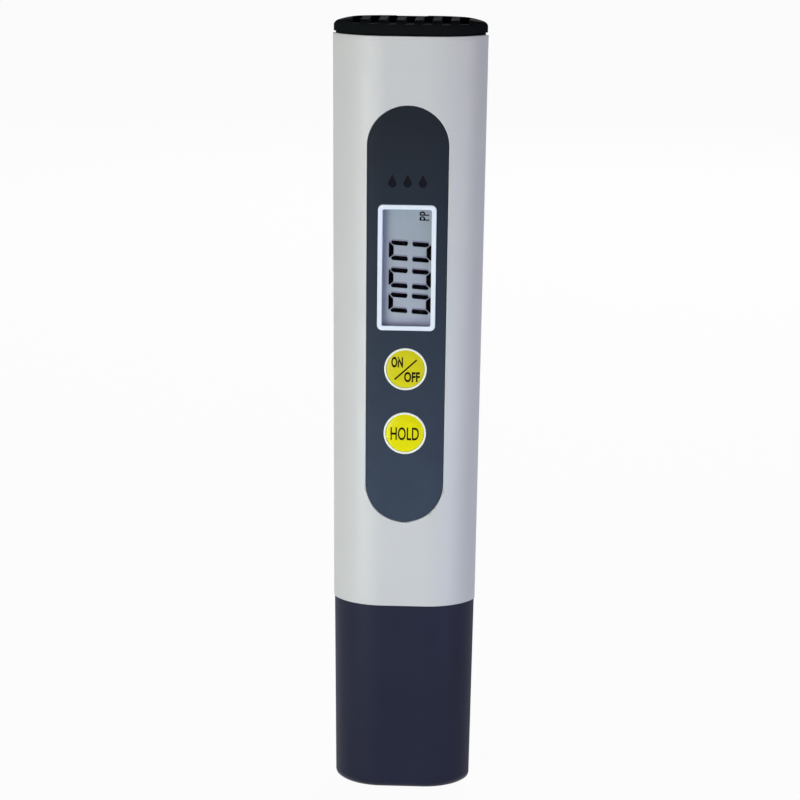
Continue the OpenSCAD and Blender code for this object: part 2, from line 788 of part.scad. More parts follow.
// The board's carrier: two rails, three cross bars and the battery bay above them
module board_carrier() {
    rail_x = board_w / 2 - 0.8;
    groove_x = board_w / 2 + pin_fit;
    bar_y = board_back_y + pin_fit;
    wall_y = bay_face + bay_wall;
    slot_x = contact_w / 2 + contact_gap;
    color("#3d4148") difference() {
        intersection() {
            union() {
                for (side = [-1, 1])
                    translate([side > 0 ? rail_x : -rail_x - rail_w, board_front_y - 1.2, board_z])
                        cube([rail_w, board_t + bar_t + 1.2, bay_z - board_z]);
                for (z = [lower_bar_z, on_off_z, upper_bar_z])
                    block([-rail_x - 0.5, bar_y, z - bar_h / 2],
                          [rail_x + 0.5, board_back_y + bar_t, z + bar_h / 2]);
                block([-top_w / 2, -body_t / 2, bay_low], [top_w / 2, body_t / 2, bay_z]);
                for (side = [-1, 1])
                    block([-cell_x * 2, side > 0 ? bay_face : -wall_y, bay_z - 0.1],
                          [cell_x * 2, side > 0 ? wall_y : -bay_face, bay_z + bay_h]);
            }
            sleeve_room(seam_z, sleeve_top, sleeve_wall + carrier_gap);
        }
        block([-groove_x, board_front_y - pin_fit, board_z - past], [groove_x, bar_y, board_top + pin_fit]);
        at_screws() translate([0, 0, -board_back_y - bar_t - past])
            cylinder(d = screw_d + 2 * pin_fit, h = bar_t + 2 * past);
        for (side = [-1, 1])
            block([side * cell_x - slot_x, bay_face - contact_t - pin_fit, bay_low - past],
                  [side * cell_x + slot_x, bay_face, bay_z]);
    }
}

// A battery contact: a leaf behind its cell, a foot under the bay and a pad on the board
module contact(side) {
    low = side * cell_x - contact_w / 2;
    high = side * cell_x + contact_w / 2;
    leaf_y = bay_face - contact_t;
    foot_z = bay_low - contact_drop;
    block([low, leaf_y, foot_z], [high, bay_face, cell_z + contact_reach]);
    block([low, board_back_y, foot_z], [high, leaf_y + contact_t / 2, foot_z + contact_t]);
    block([low, board_back_y, contact_low], [high, board_back_y + contact_t, foot_z + contact_t]);
}

module contact_positive() {
    color("#c9cbc4") contact(1);
}

module contact_negative() {
    color("#c9cbc4") contact(-1);
}

module contact_bridge() {
    half = cell_x + contact_w / 2;
    color("#c9cbc4") block([-half, -bay_face, cell_z - bridge_h / 2],
                           [half, contact_t - bay_face, cell_z + bridge_h / 2]);
}

// A button cell stands on its rim; the left one looks forwards, the right one backwards
module at_cells() {
    for (side = [-1, 1])
        translate([side * cell_x, 0, cell_z]) rotate([side * -90, 0, 0])
            translate([0, 0, -cell_t / 2]) children();
}

cell_edge = 0.35;
cell_skin = 0.25;
cell_lid_r = cell_d / 2 - 1;
cell_lid_z = cell_t - 0.9;

module cell_cans() {
    r = cell_d / 2;
    color("#cfd1d3") at_cells() rotate_extrude() polygon([
        [0, 0], [r - cell_edge, 0], [r, cell_edge], [r, cell_t - 0.7], [r - cell_edge, cell_t - 0.4],
        [r - 0.7, cell_t - 0.4], [r - 0.7, cell_t - 0.6], [r - cell_skin, cell_t - 0.8],
        [r - cell_skin, cell_skin], [0, cell_skin]]);
}

module cell_lids() {
    color("#d6d3c8") at_cells() rotate_extrude() polygon([
        [0, cell_t - cell_skin], [cell_lid_r - 0.5, cell_t - cell_skin], [cell_lid_r - 0.3, cell_lid_z],
        [cell_lid_r, cell_lid_z], [cell_lid_r - 0.1, cell_t - 0.2], [cell_lid_r - 0.3, cell_t],
        [0, cell_t]]);
}

module cell_gaskets() {
    r = cell_d / 2 - cell_skin;
    color("#4a5a50") at_cells() rotate_extrude() polygon([
        [cell_lid_r, cell_lid_z], [r, cell_lid_z], [r, cell_t - 0.8], [cell_d / 2 - 0.7, cell_t - 0.6],
        [cell_lid_r + 0.02, cell_t - 0.6]]);
}

module cell_fillings() {
    r = cell_d / 2 - cell_skin;
    color("#3a3a3a") at_cells() translate([0, 0, cell_skin]) cylinder(r = r, h = cell_lid_z - cell_skin);
}

// The row of grip slots across the battery cap, from one depth to another
module grip_slots(z, y_near, y_far) {
    for (i = [0:slot_count - 1])
        translate([(i - (slot_count - 1) / 2) * slot_pitch - slot_w / 2, y_near, z])
            cube([slot_w, y_far - y_near, slot_depth + past]);
}

module battery_cap() {
    slot_floor = overall_h - slot_depth;
    under = sleeve_top + lid_gap_h;
    plug_inset = sleeve_wall + plug_fit;
    rib_z = bay_z + cell_d + cell_top_clear;
    rib_half = 0.6;
    reach = sleeve_top - plug_h;
    color("#1a1e20") difference() {
        union() {
            loft(concat([lid_at(sleeve_top, lid_inset + lid_gap_d), lid_at(under, lid_inset + lid_gap_d),
                         lid_at(under, lid_inset)],
                        high_edge(lid_at, overall_h, lid_edge_r, lid_inset)));
            difference() {
                sleeve_room(reach, sleeve_top + lid_gap_h / 2, plug_inset);
                sleeve_room(reach - past, sleeve_top, plug_inset + plug_wall);
            }
            for (side = [-1, 1])
                block([side * cell_x - rib_half, -cell_t / 2 + 0.3, rib_z],
                      [side * cell_x + rib_half, cell_t / 2 - 0.3, under]);
        }
        intersection() {
            loft([lid_at(slot_floor, lid_inset + slot_rim), lid_at(overall_h + past, lid_inset + slot_rim)]);
            grip_slots(slot_floor, -body_t, body_t);
        }
        grip_slots(overall_h - slot_mouth_d, -body_t, 0);
        translate([-notch_w / 2, 0, overall_h - notch_d]) cube([notch_w, body_t, past]);
    }
}

module probe_holder() {
    plug_inset = sleeve_wall + pin_fit;
    guard_inset = holder_inset + guard_step;
    cup_inset = plug_inset + holder_shell;
    pocket_half = pocket_w / 2;
    color("#2a2d36") difference() {
        union() {
            sleeve_room(seam_z, holder_top, plug_inset);
            loft([cap_at(collar_z, holder_inset), cap_at(seam_z, holder_inset)]);
            loft(concat(low_edge(cap_at, guard_z, guard_step, guard_inset),
                        [cap_at(collar_z + past, guard_inset)]));
        }
        loft([cap_at(plate_top, holder_inset + holder_shell), cap_at(seam_z, holder_inset + holder_shell),
              sleeve_at(seam_z, cup_inset), sleeve_at(holder_top + past, cup_inset)]);
        block([-pocket_half, -body_t, guard_z - past], [pocket_half, body_t, collar_z]);
        for (side = [-1, 1])
            translate([side * electrode_pitch / 2, board_mid_y, 0])
                cylinder(d = electrode_d + 2 * pin_fit, h = seam_z);
        translate([0, board_mid_y, 0]) cylinder(d = sensor_d + 2 * pin_fit, h = seam_z);
    }
}

module probe_potting() {
    inset = holder_inset + holder_shell + pin_fit;
    color("#4b4a44") difference() {
        loft([cap_at(plate_top, inset), cap_at(plate_top + potting_h, inset)]);
        for (side = [-1, 1])
            translate([side * electrode_pitch / 2, board_mid_y, 0])
                cylinder(d = electrode_d + 2 * pin_fit, h = seam_z);
        translate([0, board_mid_y, 0]) cylinder(d = sensor_d + 2 * pin_fit, h = seam_z);
    }
}

// An electrode: a round pin with a rounded tip, up to its notch in the board
module electrode(side) {
    r = electrode_d / 2;
    translate([side * electrode_pitch / 2, board_mid_y, electrode_z]) rotate_extrude()
        polygon([[0, 0], [r * 0.5, 0.1], [r * 0.85, 0.35], [r, r], [r, electrode_top - electrode_z],
                 [0, electrode_top - electrode_z]]);
}

module left_electrode() {
    color("#c8ccd2") electrode(-1);
}

module right_electrode() {
    color("#c8ccd2") electrode(1);
}

module temperature_sensor() {
    r = sensor_d / 2;
    color("#aeb3ba") translate([0, board_mid_y, sensor_z]) rotate_extrude()
        polygon([[0, 0], [r * 0.5, 0.15], [r * 0.85, 0.45], [r, r], [r, sensor_top - sensor_z],
                 [0, sensor_top - sensor_z]]);
}

module sensor_leads() {
    color("#c03a2e") for (side = [-1, 1])
        translate([side * sensor_d / 4, board_mid_y, sensor_top])
            cylinder(d = sensor_d / 4, h = board_z - sensor_top);
}

protective_cap();
housing();
face_panel();
panel_tape();
display_frame();
display_window();
button_bezels();
on_off_button();
hold_button();
lcd_front_glass();
lcd_rear_glass();
lcd_reflector();
lcd_holder();
zebra_strips();
circuit_board();
switch_bases();
switch_covers();
switch_domes();
on_off_plunger();
hold_plunger();
controller_chip();
amplifier_chip();
timing_crystal();
resistors();
capacitors();
trimmer_body();
trimmer_rotor();
board_carrier();
board_screws();
contact_positive();
contact_negative();
contact_bridge();
cell_cans();
cell_lids();
cell_gaskets();
cell_fillings();
battery_cap();
probe_holder();
probe_potting();
left_electrode();
right_electrode();
temperature_sensor();
sensor_leads();
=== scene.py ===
# %% [markdown]
# # A water quality test pen
#
# The pen stands upright on its navy cap. Its casing is one tapered, oval white sleeve. A slate
# panel is let into the front, with a small upright display and two yellow buttons in it, and a
# black cap with grip slots closes the top.
#
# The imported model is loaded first. It fixes every size, so each piece made here takes its place
# from the frame, and nothing is fitted by eye afterwards.

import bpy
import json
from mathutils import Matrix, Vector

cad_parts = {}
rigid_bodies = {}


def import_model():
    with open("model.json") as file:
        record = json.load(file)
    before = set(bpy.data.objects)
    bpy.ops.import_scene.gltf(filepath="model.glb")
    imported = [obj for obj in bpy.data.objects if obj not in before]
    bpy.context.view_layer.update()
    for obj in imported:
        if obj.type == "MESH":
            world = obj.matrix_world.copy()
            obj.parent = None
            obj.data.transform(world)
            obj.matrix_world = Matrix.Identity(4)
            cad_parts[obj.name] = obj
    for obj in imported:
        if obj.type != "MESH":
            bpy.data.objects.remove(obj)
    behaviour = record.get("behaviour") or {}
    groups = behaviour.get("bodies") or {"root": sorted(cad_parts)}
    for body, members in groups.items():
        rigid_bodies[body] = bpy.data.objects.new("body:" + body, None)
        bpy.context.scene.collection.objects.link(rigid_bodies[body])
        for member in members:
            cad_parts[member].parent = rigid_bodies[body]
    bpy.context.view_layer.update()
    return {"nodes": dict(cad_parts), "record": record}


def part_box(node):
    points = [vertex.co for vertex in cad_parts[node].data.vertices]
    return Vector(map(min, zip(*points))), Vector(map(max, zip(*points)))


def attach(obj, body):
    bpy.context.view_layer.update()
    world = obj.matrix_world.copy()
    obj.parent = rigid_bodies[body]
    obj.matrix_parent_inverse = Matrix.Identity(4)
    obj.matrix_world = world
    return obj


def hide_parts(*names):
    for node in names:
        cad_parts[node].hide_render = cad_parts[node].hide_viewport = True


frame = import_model()

# %% [markdown]
# ## Sizes
#
# Blender works in metres, and this pen is measured in millimetres, so every length is written as
# a number times MM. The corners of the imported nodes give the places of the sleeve, the panel, the
# display and the buttons. The few values that a box can't give, such as the flat band down the
# front, repeat the part's own sizes. PAST is how far a cutter reaches beyond what it opens, and
# points nearer than MERGE count as doubled.

# %% Sizes taken from the frame
import json
import math

import bpy
from mathutils import Matrix, Vector

MM = 0.001
Y, Z = Vector((0, 1, 0)), Vector((0, 0, 1))
PAST = 1 * MM
MERGE = 0.001 * MM
WIDE_MERGE = 0.002 * MM
SAME_HEIGHT = 1e-7


def corners(node):
    """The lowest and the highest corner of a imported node."""
    return (Vector(corner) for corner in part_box(node))


def middle_height(node):
    low, high = corners(node)
    return (low.z + high.z) / 2


sleeve_low, sleeve_high = corners("housing")
foot_high = Vector(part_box("protective_cap")[1])
top_low, top_high = corners("battery_cap")
panel_low, panel_high = corners("face_panel")
frame_low, frame_high = corners("display_frame")
window_low, window_high = corners("display_window")
glass_low, glass_high = corners("lcd_front_glass")
rings_low, rings_high = corners("button_bezels")

SEAM_Z = sleeve_low.z
SLEEVE_TOP = sleeve_high.z
HALF_T = sleeve_high.y
TOP_HALF_W = sleeve_high.x
CAP_STEP = 0.15 * MM
SEAM_HALF_W = foot_high.x + CAP_STEP
FOOT_HALF_W = 13.6 * MM - CAP_STEP
FOOT_HALF_T = 6.5 * MM - CAP_STEP
FLAT_HALF = 4.2 * MM
SIDE_R = 1.2 * MM
LEAST_SIDE_R = 0.5 * MM
SLEEVE_WALL = 1.4 * MM
CAP_WALL = 1.3 * MM
CAP_FLOOR = 1.8 * MM
PANEL_T = 0.5 * MM
PANEL_AND_TAPE_T = 0.6 * MM
PANEL_SINK = panel_low.y - sleeve_low.y
RECESS_D = PANEL_SINK + PANEL_AND_TAPE_T
print("sleeve from", round(SEAM_Z / MM, 2), "to", round(SLEEVE_TOP / MM, 2), "mm")

# %% [markdown]
# ## The camera
#
# The photograph is taken from a little above the middle of the pen, with a long lens, and it
# looks down by about twelve degrees. The distance, height and tilt below were fitted to the
# outlines of the pen in the photograph, so the picture lines up with it. The camera also rolls by
# half a degree, as the pen leans that much in the photograph.

# %% Camera
CAMERA_AWAY = 540.8 * MM
CAMERA_HEIGHT = 196.02 * MM
CAMERA_ROUND = 0.0408
CAMERA_YAW = -0.0024
CAMERA_PITCH = 0.2134
CAMERA_ROLL = 0.011
SENSOR = 36.0
LENS = 125.9


def make_camera():
    """Places the camera where the photograph was taken from."""
    place = Vector((CAMERA_AWAY * math.sin(CAMERA_ROUND), -CAMERA_AWAY * math.cos(CAMERA_ROUND),
                    CAMERA_HEIGHT))
    turn = CAMERA_YAW - CAMERA_ROUND
    forward = Vector((math.sin(turn) * math.cos(CAMERA_PITCH),
                      math.cos(turn) * math.cos(CAMERA_PITCH), -math.sin(CAMERA_PITCH)))
    right = forward.cross(Z).normalized()
    up = right.cross(forward)
    right, up = (math.cos(CAMERA_ROLL) * right + math.sin(CAMERA_ROLL) * up,
                 math.cos(CAMERA_ROLL) * up - math.sin(CAMERA_ROLL) * right)
    bpy.ops.object.camera_add(location=place)
    camera = bpy.context.object
    facing = Matrix((right, up, -forward)).transposed().to_4x4()
    camera.matrix_world = Matrix.Translation(place) @ facing
    camera.data.sensor_width = SENSOR
    camera.data.lens = LENS
    camera.data.clip_start = 10 * MM
    camera.data.clip_end = 20.0
    bpy.context.scene.camera = camera
    return camera


camera = make_camera()
print("camera", [round(value / MM, 1) for value in camera.location], "mm")

# %% [markdown]
# ## Light, floor and backdrop
#
# The photograph is a cut-out on white, lit softly from the lower left, so the right shoulder of
# the sleeve falls into a violet grey. A large, slightly warm key lamp stands low on the left and a
# weak one on the right. Two small cool lamps near the floor lift the lower half and turn its
# shades violet, and a large one behind the pen draws its outline. The floor is pale and catches
# the pen's shadow. It would render grey under such lamps, so the rays that come straight from the
# camera see it mostly as white, and so do the rays that glossy and clear pieces send out.
#
# Short helpers build all shaders from here on. One starts a material, one adds a node, and one
# fills a node's inputs with values or with links.

# %% Helpers for shaders
paints = {}


def fill(tree, node, sockets):
    """Gives each input of a node, by name or number, a value or a link from an output."""
    for key, value in sockets.items():
        if isinstance(value, bpy.types.NodeSocket):
            tree.links.new(value, node.inputs[key])
        else:
            node.inputs[key].default_value = value
    return node


def added(tree, kind, sockets, **settings):
    """Adds a shader node with its settings, and fills its inputs."""
    node = tree.nodes.new(f"ShaderNode{kind}")
    for key, value in settings.items():
        setattr(node, key, value)
    return fill(tree, node, sockets)


def started(name):
    """Starts a material, keeps it under its name, and gives its tree and its shader."""
    paints[name] = bpy.data.materials.new(name)
    paints[name].use_nodes = True
    tree = paints[name].node_tree
    return tree, tree.nodes["Principled BSDF"]


print("helpers for shaders are ready")

# %% Lamps, world and floor
FLOOR_SIZE = 14.0
FLOOR_COLOUR = (0.86, 0.86, 0.87, 1)
FLOOR_ROUGHNESS = 0.9
FLOOR_WHITE_SHARE = 0.96
WHITE = (1, 1, 1, 1)
FILL_LIGHT = 0.05
MIDDLE = Vector((0, 0, 80 * MM))

# Each lamp has its name, place, width and height, power and colour
LAMPS = (
    ("key", (-0.55, -0.80, 0.13), (0.60, 0.24), 4.3, (1.0, 0.94, 0.87)),
    ("low_left", (-0.17, -0.17, 0.022), (0.10, 0.035), 0.11, (0.88, 1.0, 0.99)),
    ("low_right", (0.17, -0.17, 0.022), (0.10, 0.035), 0.127, (0.57, 0.73, 1.0)),
    ("fill", (0.60, -0.24, 0.06), (0.24, 0.11), 0.6, (1.0, 0.82, 0.86)),
    ("back", (0.20, 0.90, 0.60), (0.60, 0.60), 6.0, (0.90, 0.86, 1.0)),
)


def white_to_viewers(tree):
    """Gives a value that is 1 for camera, glossy and transmission rays, and 0 for the rest."""
    rays = added(tree, "LightPath", {}).outputs
    first = added(tree, "Math", {0: rays["Is Camera Ray"], 1: rays["Is Glossy Ray"]},
                  operation="MAXIMUM")
    second = added(tree, "Math", {0: first.outputs[0], 1: rays["Is Transmission Ray"]},
                   operation="MAXIMUM")
    return second.outputs[0]


def ended(tree, share, own, seen, output):
    """Ends a tree in a mix of its own shader and the one that viewers see."""
    mix = added(tree, "MixShader", {"Fac": share, 1: own.outputs[0], 2: seen.outputs[0]})
    fill(tree, tree.nodes[output], {"Surface": mix.outputs[0]})


def make_world():
    """A white surrounding to look at, and a softer one that lights the pen."""
    world = bpy.data.worlds.new("studio")
    bpy.context.scene.world = world
    world.use_nodes = True
    tree = world.node_tree
    soft = fill(tree, tree.nodes["Background"], {"Color": WHITE, "Strength": FILL_LIGHT})
    seen = added(tree, "Background", {"Color": WHITE, "Strength": 1.0})
    ended(tree, white_to_viewers(tree), soft, seen, "World Output")


def make_floor():
    """A wide pale floor that keeps a faint shadow."""
    bpy.ops.mesh.primitive_plane_add(size=FLOOR_SIZE)
    floor = bpy.context.object
    floor.name = "studio_floor"
    tree, matt = started("studio_floor")
    fill(tree, matt, {"Base Color": FLOOR_COLOUR, "Roughness": FLOOR_ROUGHNESS})
    white = added(tree, "Emission", {"Strength": 1.0})
    share = added(tree, "Math", {0: white_to_viewers(tree), 1: FLOOR_WHITE_SHARE},
                  operation="MULTIPLY")
    ended(tree, share.outputs[0], matt, white, "Material Output")
    floor.data.materials.append(paints["studio_floor"])


def make_lamp(name, place, size, power, colour):
    """A soft lamp that faces the middle of the pen."""
    bpy.ops.object.light_add(type="AREA", location=place)
    lamp = bpy.context.object
    lamp.name = name
    lamp.rotation_euler = (MIDDLE - Vector(place)).to_track_quat("-Z", "Y").to_euler()
    lamp.data.shape = "RECTANGLE"
    lamp.data.size, lamp.data.size_y = size
    lamp.data.energy = power
    lamp.data.color = colour


make_world()
make_floor()
for lamp in LAMPS:
    make_lamp(*lamp)

# %% [markdown]
# ## Hand tools
#
# Every piece is modelled with Blender's own operators, as it would be by hand. They all act on
# what is selected, and loading the frame leaves its nodes selected, so each helper first clears
# the selection. A section of the casing is drawn like a pencil line: it starts as one point, which
# is pulled along straight stretches and swung around the centres of the arcs.

# %% Helpers that hold, pick and join pieces


def hold(*pieces):
    """Selects only these pieces, or nothing, and makes the first one active."""
    if bpy.context.object and bpy.context.object.mode == "EDIT":
        bpy.ops.object.mode_set(mode="OBJECT")
    bpy.ops.object.select_all(action="DESELECT")
    for piece in pieces:
        piece.select_set(True)
    if pieces:
        bpy.context.view_layer.objects.active = pieces[0]


def named(piece, name):
    piece.name = piece.data.name = name
    return piece


def edit(piece):
    hold(piece)
    bpy.ops.object.mode_set(mode="EDIT")
    bpy.ops.mesh.select_mode(type="VERT")


def edit_all(piece):
    edit(piece)
    bpy.ops.mesh.select_all(action="SELECT")


def leave():
    bpy.ops.object.mode_set(mode="OBJECT")


def moved(piece, step):
    """Moves a piece's points, and leaves its origin where it is."""
    edit_all(piece)
    bpy.ops.transform.translate(value=step)
    leave()


def pick(piece, test):
    """Selects the points of a piece whose place passes a test."""
    edit(piece)
    bpy.ops.mesh.select_all(action="DESELECT")
    leave()
    for point in piece.data.vertices:
        point.select = test(point.co)
    bpy.ops.object.mode_set(mode="EDIT")


def join(name, pieces):
    """Joins pieces into the first one."""
    hold(*pieces)
    if len(pieces) > 1:
        bpy.ops.object.join()
    return named(pieces[0], name)


def drop(piece):
    """Throws a scratch piece away, with its mesh."""
    mesh = piece.data
    bpy.data.objects.remove(piece)
    bpy.data.meshes.remove(mesh)


def copied(piece, name):
    """A copy of a piece with its own mesh."""
    twin = piece.copy()
    twin.data = piece.data.copy()
    bpy.context.collection.objects.link(twin)
    return named(twin, name)


def modified(piece, kind, **settings):
    """Adds a modifier, sets it and applies it."""
    hold(piece)
    bpy.ops.object.modifier_add(type=kind)
    modifier = piece.modifiers[-1]
    for key, value in settings.items():
        setattr(modifier, key, value)
    bpy.ops.object.modifier_apply(modifier=modifier.name)
    return piece


def cut(piece, cutter, operation="DIFFERENCE"):
    """Cuts a piece with a scratch piece, which is then thrown away."""
    modified(piece, "BOOLEAN", object=cutter, operation=operation, solver="EXACT")
    drop(cutter)
    return piece


print("helpers for holding and picking are ready")

# %% [markdown]
# The pencil itself comes next. With no window, Blender's spin turns clockwise for a positive
# angle, so swing gives it the angle with its sign changed, and degrees then count anticlockwise
# around the axis, as in a drawing.

# %% Helpers that draw
TURN_STEPS = 96
SHARP_FROM = 50


def start_point(place):
    """Starts a line as one point, in edit mode."""
    hold()
    bpy.ops.mesh.primitive_plane_add(size=MM)
    bpy.ops.object.mode_set(mode="EDIT")
    bpy.ops.mesh.merge(type="CENTER")
    bpy.ops.transform.translate(value=place)
    return bpy.context.object


def pull(*steps):
    """Pulls a straight line out of the last point, once for each step."""
    for step in steps:
        bpy.ops.mesh.extrude_region_move(TRANSFORM_OT_translate={"value": step})


def swing(centre, axis, degrees, steps):
    """Swings the last point around a centre."""
    bpy.ops.mesh.spin(steps=steps, angle=-math.radians(degrees), center=centre, axis=axis)


def tidy():
    """Merges doubled points and turns every face outwards."""
    bpy.ops.mesh.select_all(action="SELECT")
    bpy.ops.mesh.remove_doubles(threshold=MERGE)
    bpy.ops.mesh.normals_make_consistent(inside=False)


def turned(profile, height):
    """Turns a profile once around a line along Y, as on a lathe."""
    edit_all(profile)
    bpy.ops.mesh.spin(steps=TURN_STEPS, angle=math.tau, center=(0, 0, height), axis=Y)
    tidy()
    leave()
    return profile


def filled(outline, name):
    """Fills a closed outline with one face."""
    edit_all(outline)
    bpy.ops.mesh.edge_face_add()
    leave()
    return named(outline, name)


def thickened(outline, step):
    """Fills a closed outline and pulls the face out by a step."""
    edit_all(outline)
    bpy.ops.mesh.remove_doubles(threshold=MERGE)
    bpy.ops.mesh.edge_face_add()
    pull(step)
    tidy()
    leave()
    return outline


def smooth(piece, degrees=35):
    """Shades a piece smooth up to an angle, with large faces ruling the shading."""
    hold(piece)
    bpy.ops.object.shade_smooth_by_angle(angle=math.radians(degrees), keep_sharp_edges=False)
    return modified(piece, "WEIGHTED_NORMAL", keep_sharp=True, weight=50)


def softened(piece, width, segments=3):
    """Rounds the sharp edges of a piece."""
    modified(piece, "BEVEL", width=width, segments=segments, limit_method="ANGLE",
             angle_limit=math.radians(SHARP_FROM), use_clamp_overlap=False, miter_outer="MITER_ARC")
    return smooth(piece)


print("helpers for drawing are ready")

# %% [markdown]
# ## The casing's section
#
# Seen from above, the casing is a flattened oval: a flat band in the middle of the front and the
# back, a wide shoulder arc on each side of it, and a small arc along each side edge. One quarter
# is drawn and mirrored twice. The shoulder's radius isn't typed in. It follows from the rule that
# the arc leaves the flat band and meets the small arc without a kink.

# %% The section and the loft
SHOULDER_STEPS = 26
SIDE_STEPS = 7
CORE_CUTS = 60


def section(z, half_w, half_t, inset=0.0):
    """Draws one closed section of the casing, drawn in by an inset."""
    wide, deep = half_w - inset, half_t - inset
    side_r = max(LEAST_SIDE_R, SIDE_R - inset)
    reach = wide - side_r - FLAT_HALF
    shoulder_r = (reach * reach + deep * deep - side_r * side_r) / (2 * (deep - side_r))
    lean = math.degrees(math.atan2(shoulder_r - deep, reach))
    outline = start_point((0, -deep, z))
    pull((FLAT_HALF, 0, 0))
    swing((FLAT_HALF, shoulder_r - deep, z), Z, 90 - lean, SHOULDER_STEPS)
    swing((wide - side_r, 0, z), Z, lean, SIDE_STEPS)
    leave()
    return modified(outline, "MIRROR", use_axis=(True, True, False), merge_threshold=WIDE_MERGE)


def loft(name, stations, cuts=0):
    """Bridges the sections at each station, lowest first, and closes both ends."""
    tube = join(name, [section(*station) for station in stations])
    for low, high in zip(stations, stations[1:]):
        pick(tube, lambda point: min(abs(point.z - low[0]), abs(point.z - high[0])) < SAME_HEIGHT)
        bpy.ops.mesh.bridge_edge_loops(type="SINGLE", number_cuts=cuts, interpolation="LINEAR")
    tidy()
    leave()
    for station in (stations[0], stations[-1]):
        pick(tube, lambda point: abs(point.z - station[0]) < SAME_HEIGHT)
        bpy.ops.mesh.edge_face_add()
    tidy()
    leave()
    return tube


def sleeve_station(z, inset=0.0):
    along = (z - SEAM_Z) / (SLEEVE_TOP - SEAM_Z)
    return (z, SEAM_HALF_W + (TOP_HALF_W - SEAM_HALF_W) * along, HALF_T, inset)


def foot_station(z, inset=0.0):
    along = z / SEAM_Z
    half_w = FOOT_HALF_W + (SEAM_HALF_W - CAP_STEP - FOOT_HALF_W) * along
    half_t = FOOT_HALF_T + (HALF_T - CAP_STEP - FOOT_HALF_T) * along
    return (z, half_w, half_t, inset)


def sleeve_core(inset):
    """A solid inside the sleeve's surface, longer than the sleeve at both ends."""
    return loft("core", [sleeve_station(SEAM_Z - PAST, inset),
                         sleeve_station(SLEEVE_TOP + PAST, inset)], cuts=CORE_CUTS)


print("section steps per quarter:", SHOULDER_STEPS + SIDE_STEPS + 1)

# %% [markdown]
# ## What is let into the front
#
# The recess, the panel and its tape share one outline: a straight stretch with a half circle at
# each end, slightly wider at the top. The display's frame and window are rectangles with round
# corners. Each outline is drawn in the plane of the front and pulled backwards into a cutter or
# a plate.

# %% Outlines on the front
PANEL_GAP = 0.05 * MM
PANEL_TOP_R = panel_high.x
PANEL_LOW_R = 7.6 * MM
END_STEPS = 48
CORNER_STEPS = 8


def panel_prism(grow, near, far):
    """The panel's outline, grown by a gap, from one depth to another."""
    top_r, low_r = PANEL_TOP_R + grow, PANEL_LOW_R + grow
    top_z, low_z = panel_high.z - PANEL_TOP_R, panel_low.z + PANEL_LOW_R
    outline = start_point((top_r, near, top_z))
    swing((0, near, top_z), Y, -180, END_STEPS)
    pull((top_r - low_r, 0, low_z - top_z))
    swing((0, near, low_z), Y, -180, END_STEPS)
    pull((top_r - low_r, 0, top_z - low_z))
    leave()
    return thickened(outline, (0, far - near, 0))


def rounded_prism(low, high, grow, corner, near, far):
    """A rectangle between two corners, grown by a gap, with round corners."""
    wide, tall = high.x - low.x + 2 * grow, high.z - low.z + 2 * grow
    middle = (low + high) / 2
    x, z = wide / 2 - corner, tall / 2 - corner
    outline = start_point((middle.x + wide / 2, near, middle.z - z))
    for side_x, side_z, step in ((1, 1, (0, 0, 2 * z)), (-1, 1, (-2 * x, 0, 0)),
                                 (-1, -1, (0, 0, -2 * z)), (1, -1, (2 * x, 0, 0))):
        pull(step)
        swing((middle.x + side_x * x, near, middle.z + side_z * z), Y, -90, CORNER_STEPS)
    leave()
    return thickened(outline, (0, far - near, 0))


def round_prism(radius, z, near, far):
    """A round bar along Y, for a bore."""
    hold()
    bpy.ops.mesh.primitive_cylinder_add(vertices=TURN_STEPS, radius=radius, depth=far - near,
                                        location=(0, (near + far) / 2, z),
                                        rotation=(math.pi / 2, 0, 0))
    bpy.ops.object.transform_apply(location=True, rotation=True, scale=True)
    return bpy.context.object


buttons = {name: middle_height(name) for name in ("on_off_button", "hold_button")}
RING_R = rings_high.x
BUTTON_R = 3.7 * MM
BUTTON_FIT = 0.08 * MM
BORE_R = BUTTON_R + BUTTON_FIT
TRIMMER_Z = middle_height("trimmer_rotor")
TRIMMER_HOLE_R = 1.7 * MM
print("buttons at", {name: round(z / MM, 2) for name, z in buttons.items()}, "mm")

# %% [markdown]
# ## Moulded plastic
#
# Most of the pen is injection-moulded plastic. It is never one flat colour: the pigment drifts
# slightly over centimetres, the gloss changes in patches where the mould was polished, and the
# surface has a very fine grain. One function gives all three from noise on the object's own
# coordinates, so a material keeps its scale in millimetres on every piece. The whites of the
# display frame and the rings get a faint painted glow, which makes them brighter than the lamps
# alone would.

# %% The plastic material
DRIFT_SIZE = 14 * MM
POLISH_SIZE = 5 * MM
LEAST_GLOSS, MOST_GLOSS = 0.88, 1.12
# Strength of the painted glow on the white plastics
PAINTED_GLOW = 0.10


def screen(*colour):
    """A colour as it looks on screen, 0 to 255, turned into Blender's linear values."""
    def linear(value):
        value /= 255
        return value / 12.92 if value <= 0.04045 else ((value + 0.055) / 1.055) ** 2.4
    return tuple(linear(value) for value in colour)


def object_place(tree):
    return added(tree, "TexCoord", {}).outputs["Object"]


def object_noise(tree, size, detail=2.0, stretch=(1, 1, 1)):
    """Noise whose features are about one size, in metres."""
    scale = added(tree, "Mapping", {"Vector": object_place(tree), "Scale": stretch})
    return added(tree, "TexNoise", {"Vector": scale.outputs["Vector"], "Scale": 1 / size,
                                    "Detail": detail}).outputs["Fac"]


def ranged(tree, value, low, high, start=0.3, end=0.7):
    """Stretches the middle of a noise to a range."""
    return added(tree, "MapRange", {"Value": value, "From Min": start, "From Max": end,
                                    "To Min": low, "To Max": high}).outputs["Result"]


def along(tree, axis, low, high, start, end):
    """A value that goes from low to high between two places on an axis."""
    split = added(tree, "SeparateXYZ", {"Vector": object_place(tree)})
    return ranged(tree, split.outputs[axis], low, high, start, end)


